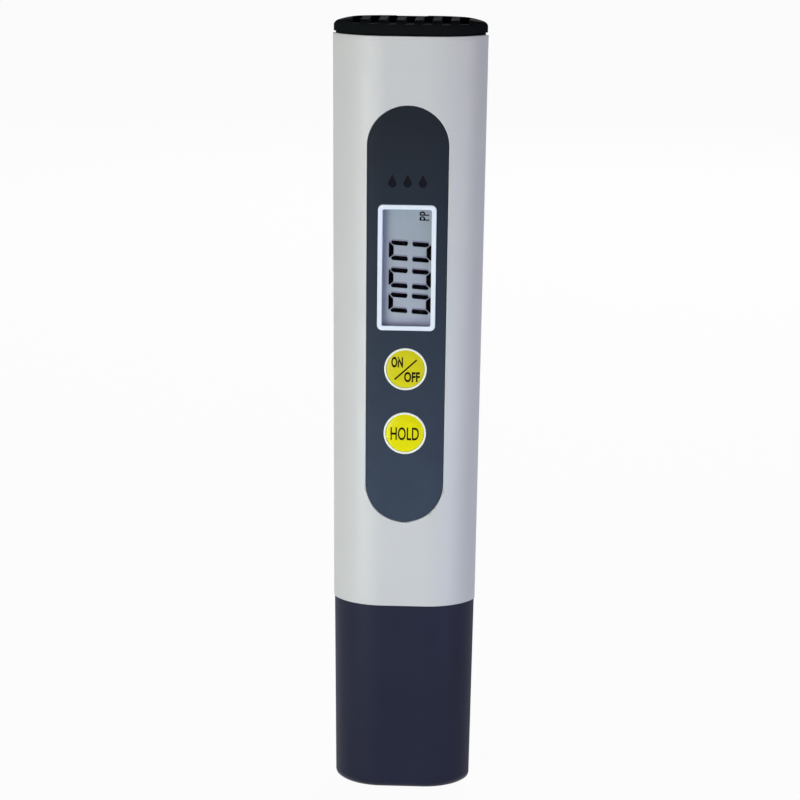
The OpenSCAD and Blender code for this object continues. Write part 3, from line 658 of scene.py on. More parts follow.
def blended(tree, factor, *colours):
    """Mixes two colours, each a tuple or another node's output."""
    first, second = (colour if isinstance(colour, bpy.types.NodeSocket) else (*colour, 1)
                     for colour in colours)
    return added(tree, "Mix", {"Factor": factor, "A": first, "B": second},
                 data_type="RGBA").outputs["Result"]


def bumped(tree, value, height):
    """The normals of a surface with a fine relief."""
    return added(tree, "Bump", {"Height": value, "Distance": height,
                                "Strength": 1.0}).outputs["Normal"]


def plastic(name, colour, gloss, drift=0.04, grain=0.25 * MM, height=0.004 * MM, shine=0.5,
            also=None):
    """Moulded plastic: a colour that drifts, a gloss in patches and a fine grain."""
    tree, shader = started(name)
    darker = tuple(value * (1 - drift) for value in screen(*colour))
    lighter = tuple(min(1.0, value * (1 + drift)) for value in screen(*colour))
    patches = ranged(tree, object_noise(tree, DRIFT_SIZE), 0, 1)
    polish = object_noise(tree, POLISH_SIZE, detail=4)
    fill(tree, shader, {
        "Base Color": blended(tree, patches, darker, lighter),
        "Roughness": ranged(tree, polish, gloss * LEAST_GLOSS, gloss * MOST_GLOSS),
        "Normal": bumped(tree, object_noise(tree, grain, detail=3), height),
        "IOR": 1.5, "Specular IOR Level": shine})
    fill(tree, shader, also or {})


# Painted glow: a faint emission that makes white plastic brighter than the lamps alone make it
def painted_glow(*colour):
    return {"Emission Color": (*colour, 1), "Emission Strength": PAINTED_GLOW}


plastic("sleeve_white_plastic", (214, 218, 219), 0.42, drift=0.012)
plastic("cap_navy_plastic", (41, 44, 63), 0.34, drift=0.06, height=0.006 * MM, shine=0.08)
plastic("cap_black_plastic", (23, 26, 28), 0.62, drift=0.10, height=0.010 * MM, shine=0.0015)
plastic("bezel_white", (236, 244, 254), 0.30, drift=0.012, also=painted_glow(0.45, 0.75, 1.0))
plastic("ring_white", (244, 249, 242), 0.30, drift=0.012, also=painted_glow(0.9, 1.0, 0.85))
plastic("holder_white", (225, 227, 224), 0.50, drift=0.03)
plastic("switch_plastic", (40, 42, 48), 0.45, drift=0.08)
plastic("carrier_grey", (66, 70, 78), 0.50, drift=0.06)
plastic("probe_black_plastic", (40, 42, 50), 0.42, drift=0.08)
plastic("trimmer_blue", (47, 95, 168), 0.40, drift=0.06)
plastic("rotor_cream", (233, 228, 212), 0.45, drift=0.04)
plastic("cell_gasket", (74, 90, 80), 0.60, drift=0.08)
plastic("chip_epoxy", (38, 40, 43), 0.55, drift=0.10, height=0.015 * MM)
plastic("zebra_rubber", (59, 59, 64), 0.80, drift=0.10, height=0.010 * MM)
plastic("lead_red", (192, 58, 46), 0.45, drift=0.06)
plastic("resistor_film", (58, 61, 66), 0.35, drift=0.10)
plastic("capacitor_ceramic", (176, 141, 98), 0.50, drift=0.08)
plastic("potting_resin", (75, 74, 68), 0.25, drift=0.08, grain=1.5 * MM)
plastic("cell_filling", (58, 58, 58), 0.80, drift=0.15)
print("materials so far:", len(paints))

# %% [markdown]
# ## Panel, buttons and print
#
# The panel is a thin coloured plate. Its colour is blended along its length: lighter and bluer low
# down and darker at its upper end, which is painted light for light that comes from below. The
# buttons are soft, slightly see-through yellow plastic, which glows a little: some light is let
# under the surface. The print on them is a dark brown-black ink.

# %% Panel, button and ink materials
SOFT_BODY = {"Subsurface Weight": 0.12, "Subsurface Radius": (1.0, 0.8, 0.2),
             "Subsurface Scale": 0.6 * MM}


def make_panel_slate():
    tree, shader = started("panel_slate")
    # Painted light: the panel is lighter and bluer low down, where light comes from below, and
    # darker at its top
    climb = along(tree, "Z", 0, 1, panel_low.z, panel_high.z)
    painted_light_ramp = blended(tree, climb, screen(67, 79, 97), screen(37, 42, 49))
    cloud = ranged(tree, object_noise(tree, 6 * MM, detail=3), 0, 0.2)
    fill(tree, shader, {
        "Base Color": blended(tree, cloud, painted_light_ramp, screen(48, 56, 68)),
        "Roughness": ranged(tree, object_noise(tree, 3 * MM, detail=4), 0.46, 0.56),
        "Normal": bumped(tree, object_noise(tree, 0.18 * MM, detail=3), 0.004 * MM),
        "Specular IOR Level": 0.04})


make_panel_slate()
plastic("button_yellow", (224, 218, 30), 0.32, drift=0.03, shine=0.15, also=SOFT_BODY)
plastic("button_lemon", (240, 236, 4), 0.32, drift=0.03, shine=0.15, also=SOFT_BODY)
plastic("print_ink", (26, 19, 9), 0.50, drift=0.15, grain=0.08 * MM, shine=0.04)
plastic("panel_ink", (20, 22, 32), 0.40, drift=0.10, grain=0.10 * MM, shine=0.05)
plastic("adhesive_tape", (32, 36, 42), 0.60, drift=0.15, grain=0.5 * MM)
print("panel and buttons have their materials")

# %% [markdown]
# ## Display
#
# A display of this kind is a sandwich: a clear window, a polarizing film, two sheets of glass with
# the liquid between them, and a silvery reflector behind. With no current it looks a soft blue
# grey. The segments that are switched on are almost black. The film carries that soft grey, darker
# and greener towards its top, with a faint vertical grain from its stretched plastic. Towards its
# left and lower edges it turns violet: painted shade, where the frame's shadow falls.

# %% Display materials
# Where the painted shade of the frame lies on the film
VIOLET_FROM = 0.9 * MM
VIOLET_ACROSS = 1.3 * MM
VIOLET_UP = 1.8 * MM
LEFT_SHARE = 0.8
CLIMB_LOW, CLIMB_HIGH = 105 * MM, 118 * MM


def painted_frame_shade(tree):
    """Painted shade: a value that rises towards the film's left and lower edges, where the frame's
    shadow falls.
    """
    left, foot = frame_low.x + VIOLET_FROM, frame_low.z + VIOLET_FROM
    return added(tree, "Math", {0: along(tree, "X", LEFT_SHARE, 0, left, left + VIOLET_ACROSS),
                                1: along(tree, "Z", 1, 0, foot, foot + VIOLET_UP)},
                 operation="MAXIMUM").outputs[0]


def make_film():
    tree, shader = started("lcd_glass")
    climb = along(tree, "Z", 0, 1, CLIMB_LOW, CLIMB_HIGH)
    grey = blended(tree, climb, screen(170, 182, 195), screen(154, 169, 178))
    cloud = ranged(tree, object_noise(tree, 7 * MM, detail=1), 0, 0.35)
    grey = blended(tree, cloud, grey, screen(168, 173, 190))
    # Painted shade: violet towards the film's left and lower edges, where the frame's shadow falls
    grey = blended(tree, painted_frame_shade(tree), grey, screen(154, 156, 184))
    fibres = ranged(tree, object_noise(tree, 0.5 * MM, stretch=(1, 1, 0.05)), 0, 0.12)
    fill(tree, shader, {
        "Base Color": blended(tree, fibres, grey, screen(140, 150, 158)),
        "Roughness": ranged(tree, object_noise(tree, 2 * MM), 0.22, 0.32),
        "Normal": bumped(tree, object_noise(tree, 0.3 * MM), 0.002 * MM),
        "Specular IOR Level": 0.1})


def make_clear(name, tint, roughness, ior, body):
    """Clear plastic or glass with the faint waviness of a sheet, let through by its body."""
    tree, shader = started(name)
    drift = ranged(tree, object_noise(tree, 9 * MM), 0, 1)
    fill(tree, shader, {
        "Base Color": blended(tree, drift, tint, (1.0, 1.0, 1.0)),
        "Normal": bumped(tree, object_noise(tree, 4 * MM), 0.002 * MM),
        "Roughness": roughness, "Transmission Weight": 1.0, "IOR": ior, "Alpha": body})


make_film()
make_clear("window_clear", (0.97, 0.98, 0.99), 0.02, ior=1.3, body=0.1)
plastic("lcd_reflector", (169, 177, 176), 0.35, drift=0.04)
plastic("segment_ink", (3, 3, 6), 0.45, drift=0.20, grain=0.10 * MM, shine=0.0)
plastic("segment_shade", (138, 139, 160), 0.45, drift=0.06, shine=0.02)
print("display has its materials")

# %% [markdown]
# ## Metals and the board
#
# The electrodes, the sensor's tube, the cells and the contacts are bare metal. Drawn and stamped
# metal shows fine lines along the way it was worked, so its roughness and bump come from a noise
# that is stretched along one axis. The board is green lacquer over copper: a noise cut off at a
# level gives the slightly brighter copper areas under the lacquer.

# %% Metal and board materials
LINE_SIZE = 0.15 * MM
STAIN_SIZE = 3 * MM
STAIN_SHARE = 0.86
LEAST_ROUGH, MOST_ROUGH = 0.7, 1.3


def metal(name, colour, rough, stretch=(1, 1, 0.03)):
    """Bare metal with fine lines along one axis."""
    tree, shader = started(name)
    bright = screen(*colour)
    dull = tuple(value * STAIN_SHARE for value in bright)
    lines = object_noise(tree, LINE_SIZE, detail=4, stretch=stretch)
    stain = ranged(tree, object_noise(tree, STAIN_SIZE, detail=3), 0, 1)
    fill(tree, shader, {
        "Base Color": blended(tree, stain, bright, dull),
        "Roughness": ranged(tree, lines, rough * LEAST_ROUGH, rough * MOST_ROUGH),
        "Normal": bumped(tree, lines, 0.003 * MM), "Metallic": 1.0})


def make_board():
    tree, shader = started("board_green")
    copper = ranged(tree, object_noise(tree, 2.5 * MM, detail=0), 0, 1, start=0.5, end=0.52)
    lacquer = blended(tree, copper, screen(24, 84, 48), screen(40, 116, 66))
    specks = ranged(tree, object_noise(tree, 0.6 * MM), 0, 0.3)
    fill(tree, shader, {
        "Base Color": blended(tree, specks, lacquer, screen(18, 60, 36)),
        "Roughness": ranged(tree, specks, 0.28, 0.42, 0, 0.3),
        "Normal": bumped(tree, copper, 0.03 * MM)})


metal("electrode_titanium", (196, 200, 206), 0.32)
metal("sensor_steel", (178, 183, 190), 0.28)
metal("cell_steel", (178, 181, 186), 0.24, stretch=(1, 0.05, 1))
metal("cell_lid_steel", (188, 184, 174), 0.26, stretch=(0.05, 1, 1))
metal("contact_metal", (200, 200, 190), 0.30)
metal("tinned_steel", (196, 199, 202), 0.34)
metal("screw_steel", (186, 189, 193), 0.30, stretch=(1, 0.05, 1))
metal("dome_brass", (214, 196, 138), 0.28)
metal("crystal_can", (194, 197, 201), 0.30)
make_board()
print("materials so far:", len(paints))

# %% [markdown]
# ## The sleeve
#
# The sleeve is one thin moulding, open at both ends. A solid through two sections is hollowed with
# its own core, drawn in by the wall, and then everything that opens it is cut out: the recess for
# the panel, the window, the bores of the two buttons and the small calibration hole in the back.
# The recess follows the curve of the front, so its cutter is the panel's prism with a core of the
# sleeve taken out of it. Last, every sharp edge gets a small radius, because in the photograph
# the rim of the recess catches a bright line of light.

# %% The sleeve
SLEEVE_CUTS = 110
SLEEVE_EDGE_R = 0.12 * MM
WINDOW_HOLE_R = 0.8 * MM


def finished(piece, body, slot, *nodes, paint=None):
    """Gives a piece its body and the material named by its slot or by paint, and hides the nodes
    that it stands for.
    """
    piece.data.materials.clear()
    piece.data.materials.append(paints[paint or slot])
    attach(piece, body)
    if nodes:
        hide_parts(*nodes)
    print(piece.name, len(piece.data.polygons), "faces")
    return piece


def make_sleeve():
    tube = loft("sleeve", [sleeve_station(SEAM_Z), sleeve_station(SLEEVE_TOP)], cuts=SLEEVE_CUTS)
    cut(tube, sleeve_core(SLEEVE_WALL))
    recess = cut(panel_prism(PANEL_GAP, -HALF_T - PAST, 0), sleeve_core(RECESS_D))
    cut(tube, recess)
    inner = -HALF_T + SLEEVE_WALL + PAST
    cut(tube, rounded_prism(window_low, window_high, PANEL_GAP, WINDOW_HOLE_R, -HALF_T - PAST,
                            inner))
    for height in buttons.values():
        cut(tube, round_prism(BORE_R, height, -HALF_T - PAST, inner))
    cut(tube, round_prism(TRIMMER_HOLE_R, TRIMMER_Z, HALF_T - SLEEVE_WALL - PAST, HALF_T + PAST))
    softened(tube, SLEEVE_EDGE_R)
    finished(tube, "casing", "sleeve_white_plastic", "housing")


make_sleeve()

# %% [markdown]
# ## The protective cap
#
# The cap continues the line of the sleeve a hair's breadth further in, and narrows slightly to
# its foot, whose edge is well rounded. The rounding is drawn as a stack of sections that step
# inwards along a quarter circle. A bevel couldn't do it, because the radius is wider than the
# small arcs along the sides.

# %% The protective cap
CAP_FOOT_R = 2.1 * MM
CAP_ROOM_R = 1.0 * MM
CAP_RIM_R = 0.18 * MM
CAP_CUTS = 3
FOOT_STEPS = 10


def rounded_up(at, z, radius, steps, inset=0.0):
    """Stations that round the lower edge of a form."""
    angles = [math.pi / 2 * step / steps for step in range(steps + 1)]
    return [at(z + radius * (1 - math.cos(angle)), inset + radius * (1 - math.sin(angle)))
            for angle in angles]


def make_protective_cap():
    stations = rounded_up(foot_station, 0.0, CAP_FOOT_R, FOOT_STEPS) + [foot_station(SEAM_Z)]
    shell = loft("cap_shell", stations, cuts=CAP_CUTS)
    room = rounded_up(foot_station, CAP_FLOOR, CAP_ROOM_R, FOOT_STEPS, CAP_WALL)
    room.append(foot_station(SEAM_Z + PAST, CAP_WALL))
    cut(shell, loft("cap_room", room))
    softened(shell, CAP_RIM_R)
    finished(shell, "protective_cap", "cap_navy_plastic", "protective_cap")


make_protective_cap()

# %% [markdown]
# ## The panel
#
# The panel is a flexible plate stuck into the recess, so it bends with the front. It is cut from
# a shell between two cores of the sleeve, with the same outline as the recess less a small gap.
# The display's frame and the two white rings come up through holes in it.

# %% The panel
PANEL_EDGE_R = 0.06 * MM
FRAME_CORNER = 1.0 * MM


def make_panel():
    """A plate that follows the front, with holes for what comes through it."""
    near, far = -HALF_T - PAST, -HALF_T + 3 * PAST
    plate = cut(panel_prism(0.0, near, 0), sleeve_core(PANEL_SINK), "INTERSECT")
    cut(plate, sleeve_core(PANEL_SINK + PANEL_T))
    cut(plate, rounded_prism(frame_low, frame_high, PANEL_GAP, FRAME_CORNER + PANEL_GAP,
                             near, far))
    for height in buttons.values():
        cut(plate, round_prism(RING_R + PANEL_GAP, height, near, far))
    softened(named(plate, "panel"), PANEL_EDGE_R)
    return finished(plate, "casing", "panel_slate", "face_panel")


panel = make_panel()

# %% [markdown]
# ## The display's frame and window
#
# The frame is a white moulding that stands a little above the panel, with a step inside it that
# holds the clear window. Its front edge is rounded, which gives the soft white border that the
# photograph shows around the display.

# %% Frame and window
FRAME_BORDER = 0.9 * MM
FRAME_IN_CORNER = 0.33 * MM
FRAME_LIP = 0.4 * MM
FRAME_WALL = 0.3 * MM
FRAME_EDGE_R = 0.12 * MM
WINDOW_EDGE_R = 0.05 * MM


def make_display_frame():
    ring = rounded_prism(frame_low, frame_high, 0.0, FRAME_CORNER, frame_low.y, frame_high.y)
    cut(ring, rounded_prism(frame_low, frame_high, -FRAME_BORDER, FRAME_IN_CORNER,
                            frame_low.y - PAST, frame_high.y + PAST))
    cut(ring, rounded_prism(frame_low, frame_high, -FRAME_WALL, FRAME_CORNER - FRAME_WALL,
                            frame_low.y + FRAME_LIP, frame_high.y + PAST))
    softened(named(ring, "display_ring"), FRAME_EDGE_R, segments=4)
    finished(ring, "casing", "bezel_white", "display_frame")


def make_window():
    pane = rounded_prism(window_low, window_high, 0.0, FRAME_CORNER - FRAME_WALL,
                         window_low.y, window_high.y)
    softened(named(pane, "window_pane"), WINDOW_EDGE_R)
    finished(pane, "casing", "window_clear", "display_window")


make_display_frame()
make_window()

# %% [markdown]
# ## The grey film and its segments
#
# The film lies on the front glass, about a millimetre and a half behind the frame's face, so the
# frame throws a soft shadow on it. The reading is three zeros, each turned to read upwards. A
# zero has six bars: one across its top and one across its foot, and two down each side, with
# mitred corners and pointed inner ends. The bars of one zero are modelled once, and the other two
# zeros are copies. The bars of a real display throw a soft shade on the reflector behind it, which
# shows as a violet band along their upper edges, so a paler copy lies a little higher behind them.

# %% The film
FILM_T = 0.15 * MM
FILM_Y = glass_low.y - FILM_T
FILM_MARGIN = 0.3 * MM
FILM_EDGE_R = 0.03 * MM


def plate(name, low, high):
    """A flat block between two corners, its place in its mesh."""
    low, high = Vector(low), Vector(high)
    hold()
    bpy.ops.mesh.primitive_cube_add(size=1, location=(low + high) / 2)
    bpy.ops.transform.resize(value=high - low)
    bpy.ops.object.transform_apply(location=True, rotation=True, scale=True)
    return named(bpy.context.object, name)


def make_film_plate():
    low = (glass_low.x + FILM_MARGIN, FILM_Y, glass_low.z + FILM_MARGIN)
    high = (glass_high.x - FILM_MARGIN, glass_low.y, glass_high.z - FILM_MARGIN)
    sheet = softened(plate("lcd_film", low, high), FILM_EDGE_R)
    return finished(sheet, "casing", "lcd_glass")


film = make_film_plate()

# %% One zero, drawn bar by bar
BAR_T = 0.02 * MM
ZERO_TOP_X = -3.55 * MM
ZERO_FOOT_X = 4.7 * MM
ZERO_W = 3.85 * MM
END_BAR_W = 0.95 * MM
END_BAR_HALF = 1.42 * MM
SIDE_BAR_W = 0.88 * MM
SIDE_START = 0.66 * MM
SIDE_TIP = (0.38 * MM, 0.42 * MM)
SIDE_GAP = 0.02 * MM
CORNER = 0.20 * MM
CORNER_PEAK = 0.05 * MM
MIDDLE_GAP = 0.72 * MM
POINT = 0.26 * MM
SHADE_RISE = 0.30 * MM
SHADE_BACK = 0.6 * BAR_T
SLANT = math.radians(3.6)
ZERO_HEIGHTS = (109.42 * MM, 104.06 * MM, 99.17 * MM)


def bar(places):
    """A thin bar through corners given as x and z, on the film."""
    start_point((places[0][0], FILM_Y, places[0][1]))
    pull(*[(x - from_x, 0, z - from_z) for (from_x, from_z), (x, z) in zip(places, places[1:])])
    leave()
    return thickened(bpy.context.object, (0, -BAR_T, 0))


def side_bar(start_x, end_x, half, side):
    """One of the two bars along a side of the zero: a blunt mitre first, a point at its end."""
    out = math.copysign(1, end_x - start_x)
    outer, inner = side * half, side * (half - SIDE_BAR_W)
    tip_x, tip_in = SIDE_TIP
    return bar([(start_x + out * SIDE_START, outer), (end_x - out * POINT, outer),
                (end_x, (2 * outer + inner) / 3), (end_x - out * POINT, inner),
                (start_x + out * (END_BAR_W + SIDE_GAP), inner),
                (start_x + out * tip_x, outer - side * tip_in)])


def end_bar(x, inwards):
    """The bar across the top or the foot of the zero: almost square outside, mitred inside."""
    reach, inner = END_BAR_HALF, x + inwards * END_BAR_W
    corner, slope = x + inwards * CORNER, END_BAR_W - CORNER
    peak = reach + CORNER_PEAK
    return bar([(x, reach), (corner, peak), (inner, peak - slope), (inner, slope - peak),
                (corner, -peak), (x, -reach)])


def make_zero():
    middle_x, half = (ZERO_TOP_X + ZERO_FOOT_X) / 2, ZERO_W / 2
    bars = [end_bar(ZERO_TOP_X, 1), end_bar(ZERO_FOOT_X, -1)]
    for side in (1, -1):
        bars.append(side_bar(ZERO_TOP_X, middle_x - MIDDLE_GAP / 2, half, side))
        bars.append(side_bar(ZERO_FOOT_X, middle_x + MIDDLE_GAP / 2, half, side))
    zero = join("zero", bars)
    for point in zero.data.vertices:
        point.co.z -= math.tan(SLANT) * (point.co.x - middle_x)
    return zero


def make_reading():
    zero = make_zero()
    digits = [copied(zero, f"digit_{place}") for place in range(len(ZERO_HEIGHTS))]
    for digit, height in zip(digits, ZERO_HEIGHTS):
        moved(digit, (0, 0, height))
    drop(zero)
    reading = smooth(join("lcd_reading", digits))
    shade = copied(reading, "lcd_reading_shade")
    moved(shade, (0, SHADE_BACK, SHADE_RISE))
    finished(shade, "casing", "lcd_glass", paint="segment_shade")
    finished(reading, "casing", "lcd_glass", paint="segment_ink")


make_reading()

# %% [markdown]
# ## Lettering
#
# The words on the buttons are plain ones that say what a switch does, and the unit on the display
# is a plain unit. Each is a text object turned into a mesh. It is scaled to its measured size,
# subdivided, dropped onto the curved face with Shrinkwrap and given the thickness of a print. The
# badge above the display isn't copied. Three plain drops take its place.

# %% Helpers for print
PRINT_T = 0.02 * MM
PRINT_LIFT = 0.004 * MM


def printed_word(name, words, low, high, bold=0.0, turn=0.0):
    """A word as a flat mesh that fills the rectangle between two corners, facing forwards."""
    hold()
    bpy.ops.object.text_add(rotation=(math.pi / 2, 0, 0))
    text = bpy.context.object
    text.data.body = words
    text.data.resolution_u = 6
    text.data.offset = bold
    text.data.space_character = 1 + bold
    bpy.ops.object.convert(target="MESH")
    piece = named(bpy.context.object, name)
    hold(piece)
    bpy.ops.object.transform_apply(location=True, rotation=True, scale=True)
    if turn:
        piece.data.transform(Matrix.Rotation(-turn, 4, "Y"))
    points = [point.co for point in piece.data.vertices]
    small, large = (Vector([end(point[axis] for point in points) for axis in range(3)])
                    for end in (min, max))
    size = large - small
    grow = ((high[0] - low[0]) / size.x, 1, (high[1] - low[1]) / size.z, 1)
    for step in (Matrix.Translation(-small), Matrix.Diagonal(grow),
                 Matrix.Translation((low[0], 0, low[1]))):
        piece.data.transform(step)
    return piece


def laid_on(print_piece, target, from_y):
    """Drops a flat print backwards onto a target and gives it its thickness."""
    edit_all(print_piece)
    bpy.ops.mesh.remove_doubles(threshold=WIDE_MERGE)
    bpy.ops.transform.translate(value=(0, from_y, 0))
    bpy.ops.mesh.quads_convert_to_tris()
    bpy.ops.mesh.subdivide(number_cuts=1)
    leave()
    modified(print_piece, "SHRINKWRAP", target=target, wrap_method="PROJECT",
             use_project_y=True, use_positive_direction=True, use_negative_direction=True,
             offset=PRINT_LIFT)
    return modified(print_piece, "SOLIDIFY", thickness=PRINT_T, offset=0)


print("print is", round(PRINT_T / MM, 3), "mm thick")

# %% [markdown]
# ## Rings and buttons
#
# Each button sits in a white ring with a rounded crown. The button itself is turned as on a lathe,
# from its stem through its flange to its face. The face is a low pillow: nearly flat in the
# middle, and falling away towards its edge, so that in the photograph its upper right is darker
# and its lower left brighter than the middle.

# %% Rings
RING_PROUD_EDGE = 0.08 * MM


def make_ring(name, height):
    profile = start_point((BORE_R, rings_high.y, height))
    pull((RING_R - BORE_R, 0, 0), (0, rings_low.y - rings_high.y, 0), (BORE_R - RING_R, 0, 0),
         (0, rings_high.y - rings_low.y, 0))
    leave()
    ring = turned(profile, height)
    return softened(named(ring, name), RING_PROUD_EDGE, segments=4)


rings = join("button_rings", [make_ring("ring", height) for height in buttons.values()])
finished(rings, "casing", "bezel_white", "button_bezels", paint="ring_white")

# %% Buttons
PILLOW_FROM = 2.0 * MM
PILLOW_DROP = 0.30 * MM
PILLOW_STEPS = 10
FACE_STEPS = 3
BUTTON_EDGE_R = 0.04 * MM
FLANGE_R = 4.5 * MM
FLANGE_T = 0.6 * MM
STEM_R = 1.5 * MM
FLANGE_GAP = 0.1 * MM
FLANGE_FRONT = -HALF_T + SLEEVE_WALL + FLANGE_GAP
PRINT_ROOM = 0.02 * MM


def make_button(name, slot):
    """A push button, turned from its outline: stem, flange, barrel and pillowed face."""
    low, high = corners(name)
    height, face = buttons[name], low.y + PRINT_ROOM
    edge = face + PILLOW_DROP
    across = BUTTON_R - PILLOW_FROM
    pillow_r = (across ** 2 + PILLOW_DROP ** 2) / (2 * PILLOW_DROP)
    profile = start_point((0, high.y, height))
    pull((STEM_R, 0, 0), (0, FLANGE_FRONT + FLANGE_T - high.y, 0), (FLANGE_R - STEM_R, 0, 0),
         (0, -FLANGE_T, 0), (BUTTON_R - FLANGE_R, 0, 0), (0, edge - FLANGE_FRONT, 0))
    swing((PILLOW_FROM, face + pillow_r, height), Z,
          -math.degrees(math.asin(across / pillow_r)), PILLOW_STEPS)
    pull(*[(-PILLOW_FROM / FACE_STEPS, 0, 0)] * FACE_STEPS)
    leave()
    button = turned(profile, height)
    softened(named(button, f"{name}_turned"), BUTTON_EDGE_R)
    return finished(button, name, slot, name)


on_off = make_button("on_off_button", "button_yellow")
hold_key = make_button("hold_button", "button_lemon")

# %% Words and the stroke on the buttons
PRINT_ASIDE = -0.22 * MM
BOLD = 0.038
LESS_BOLD = 0.014
LETTER_START = -HALF_T - 0.6 * MM
STROKE_W = 0.30 * MM
STROKE_STEPS = 8


def print_on(button, name, words, left, right, low, high, bold=BOLD):
    """A word on a button, placed from the button's centre in millimetres."""
    height = buttons[button]
    return printed_word(name, words, (left * MM + PRINT_ASIDE, height + low * MM),
                        (right * MM + PRINT_ASIDE, height + high * MM), bold=bold)


def make_stroke(name, height, start, end):
    """The slanted stroke between ON and OFF, with square ends."""
    length = Vector((end[0] - start[0], 0, end[1] - start[1])) * MM
    aside = length.cross(Y).normalized() * STROKE_W / 2
    stroke = start_point(Vector((start[0] * MM + PRINT_ASIDE, 0, height + start[1] * MM)) - aside)
    step = length / STROKE_STEPS
    pull(*[step] * STROKE_STEPS, 2 * aside, *[-step] * STROKE_STEPS)
    return filled(stroke, name)


on_off_print = join("on_off_print", [
    print_on("on_off_button", "word_on", "ON", -2.55, -0.27, 0.35, 2.46),
    print_on("on_off_button", "word_off", "OFF", -0.02, 3.03, -2.53, -0.48),
    make_stroke("stroke", buttons["on_off_button"], (-1.88, -2.03), (2.40, 1.90))])
hold_print = join("hold_print", [
    print_on("hold_button", "word_hold", "HOLD", -2.56, 2.98, -1.35, 1.24, LESS_BOLD)])
for words, key, body in ((on_off_print, on_off, "on_off_button"),
                         (hold_print, hold_key, "hold_button")):
    laid_on(words, key, LETTER_START)
    finished(words, body, None, paint="print_ink")

# %% [markdown]
# ## Unit mark and drops
#
# The unit on the display is drawn with the same helpers, a quarter turn anticlockwise like the
# zeros, and lies on the film. Each drop is a circle's arc closed by two straight lines that touch
# it, so its outline has no kink until it reaches its tip. The three drops lie side by side on the
# panel above the display, where the photograph shows a printed badge.

# %% The unit mark
UNIT_LOW = (2.33 * MM, 115.5 * MM)
UNIT_HIGH = (4.18 * MM, 117.3 * MM)
mark = printed_word("lcd_unit", "PP", UNIT_LOW, UNIT_HIGH, bold=LESS_BOLD, turn=math.pi / 2)
laid_on(mark, film, FILM_Y - PAST)
finished(mark, "casing", "lcd_glass", paint="segment_ink")

# %% The drops
DROP_R = 0.8 * MM
DROP_TIP = 1.7 * MM
DROP_PITCH = 2.95 * MM
DROP_Z = 122.85 * MM
DROP_STEPS = 28


def make_drop(name, x):
    touch = math.acos(DROP_R / DROP_TIP)
    start = Vector((math.sin(touch), 0, math.cos(touch))) * DROP_R
    outline = start_point((x + start.x, LETTER_START, DROP_Z + start.z))
    swing((x, LETTER_START, DROP_Z), Y, 360 - 2 * math.degrees(touch), DROP_STEPS)
    pull((start.x, 0, DROP_TIP - start.z))
    return filled(outline, name)


drops = join("drops", [make_drop(f"drop_{place}", place * DROP_PITCH) for place in (-1, 0, 1)])
laid_on(drops, panel, 0.0)
finished(drops, "casing", None, paint="panel_ink")

# %% [markdown]
# ## The battery cap
#
# The black cap has a lid that stands on the end of the sleeve, with a narrow gap under it, and a
# plug that reaches into the sleeve. Seven grip slots cross the lid's top. They open at the front
# and stop short of the back, and the ribs between them are a little lighter in the photograph.
# The lid's top falls away towards its two ends. A thumb notch is cut in the back edge, and two
# ribs underneath hold the cells down.

# %% The battery cap
LID_TOP = top_high.z
LID_INSET = 0.15 * MM
LID_EDGE_R = 1.3 * MM
LID_EDGE_STEPS = 10
LID_GAP = 0.4 * MM
LID_GAP_D = 0.4 * MM
PLUG_H = 5.0 * MM
PLUG_WALL = 1.2 * MM
PLUG_FIT = 0.1 * MM
CELL_X = 5.85 * MM
HOLD_RIB_W = 1.2 * MM
HOLD_RIB_T = 4.8 * MM
SLOT_COUNT = 7
SLOT_PITCH = 3.45 * MM
SLOT_W = 1.85 * MM
SLOT_DEPTH = 1.3 * MM
SLOT_MOUTH_D = 0.8 * MM
SLOT_RIM = 1.1 * MM
NOTCH_W = 6 * MM
NOTCH_D = 0.12 * MM
LID_BEVEL = 0.06 * MM
FALL_FROM = 9.5 * MM
FALL_R = 18.0 * MM
FALL_TO = 14.5
CORNER_R = 1.2 * MM
CORNER_TO = 80
FALL_STEPS = 12


def lid_station(z, inset=0.0):
    return (z, TOP_HALF_W, HALF_T, inset)


def rounded_over(at, z, radius, steps, inset=0.0):
    """Stations that round the upper edge of a form."""
    angles = [math.pi / 2 * step / steps for step in range(steps + 1)]
    return [at(z - radius * (1 - math.sin(angle)), inset + radius * (1 - math.cos(angle)))
            for angle in angles]


def slots(near, far, low):
    """The seven slots as one cutter, from one depth to another, open at the top."""
    bars = []
    for place in range(SLOT_COUNT):
        middle = (place - (SLOT_COUNT - 1) / 2) * SLOT_PITCH
        bars.append(plate(f"slot_{place}", (middle - SLOT_W / 2, near, low),
                          (middle + SLOT_W / 2, far, LID_TOP + PAST)))
    return join("slots", bars)


def fallen_ends(lid):
    """Lets the lid's top fall away along a wide arc, then around a tight one at its ends."""
    near = -HALF_T - PAST
    turn, last = math.radians(FALL_TO), math.radians(CORNER_TO)
    deep, wide = LID_TOP - FALL_R, FALL_R - CORNER_R
    centre_x, centre_z = FALL_FROM + wide * math.sin(turn), deep + wide * math.cos(turn)
    end_x, end_z = centre_x + CORNER_R * math.sin(last), centre_z + CORNER_R * math.cos(last)
    for side in (-1, 1):
        outline = start_point((side * FALL_FROM, near, LID_TOP))
        swing((side * FALL_FROM, near, deep), Y, side * FALL_TO, FALL_STEPS)
        swing((side * centre_x, near, centre_z), Y, side * (CORNER_TO - FALL_TO), FALL_STEPS)
        pull((0, 0, LID_TOP + PAST - end_z), (side * (FALL_FROM - end_x), 0, 0))
        leave()
        cut(lid, thickened(outline, (0, -2 * near, 0)))


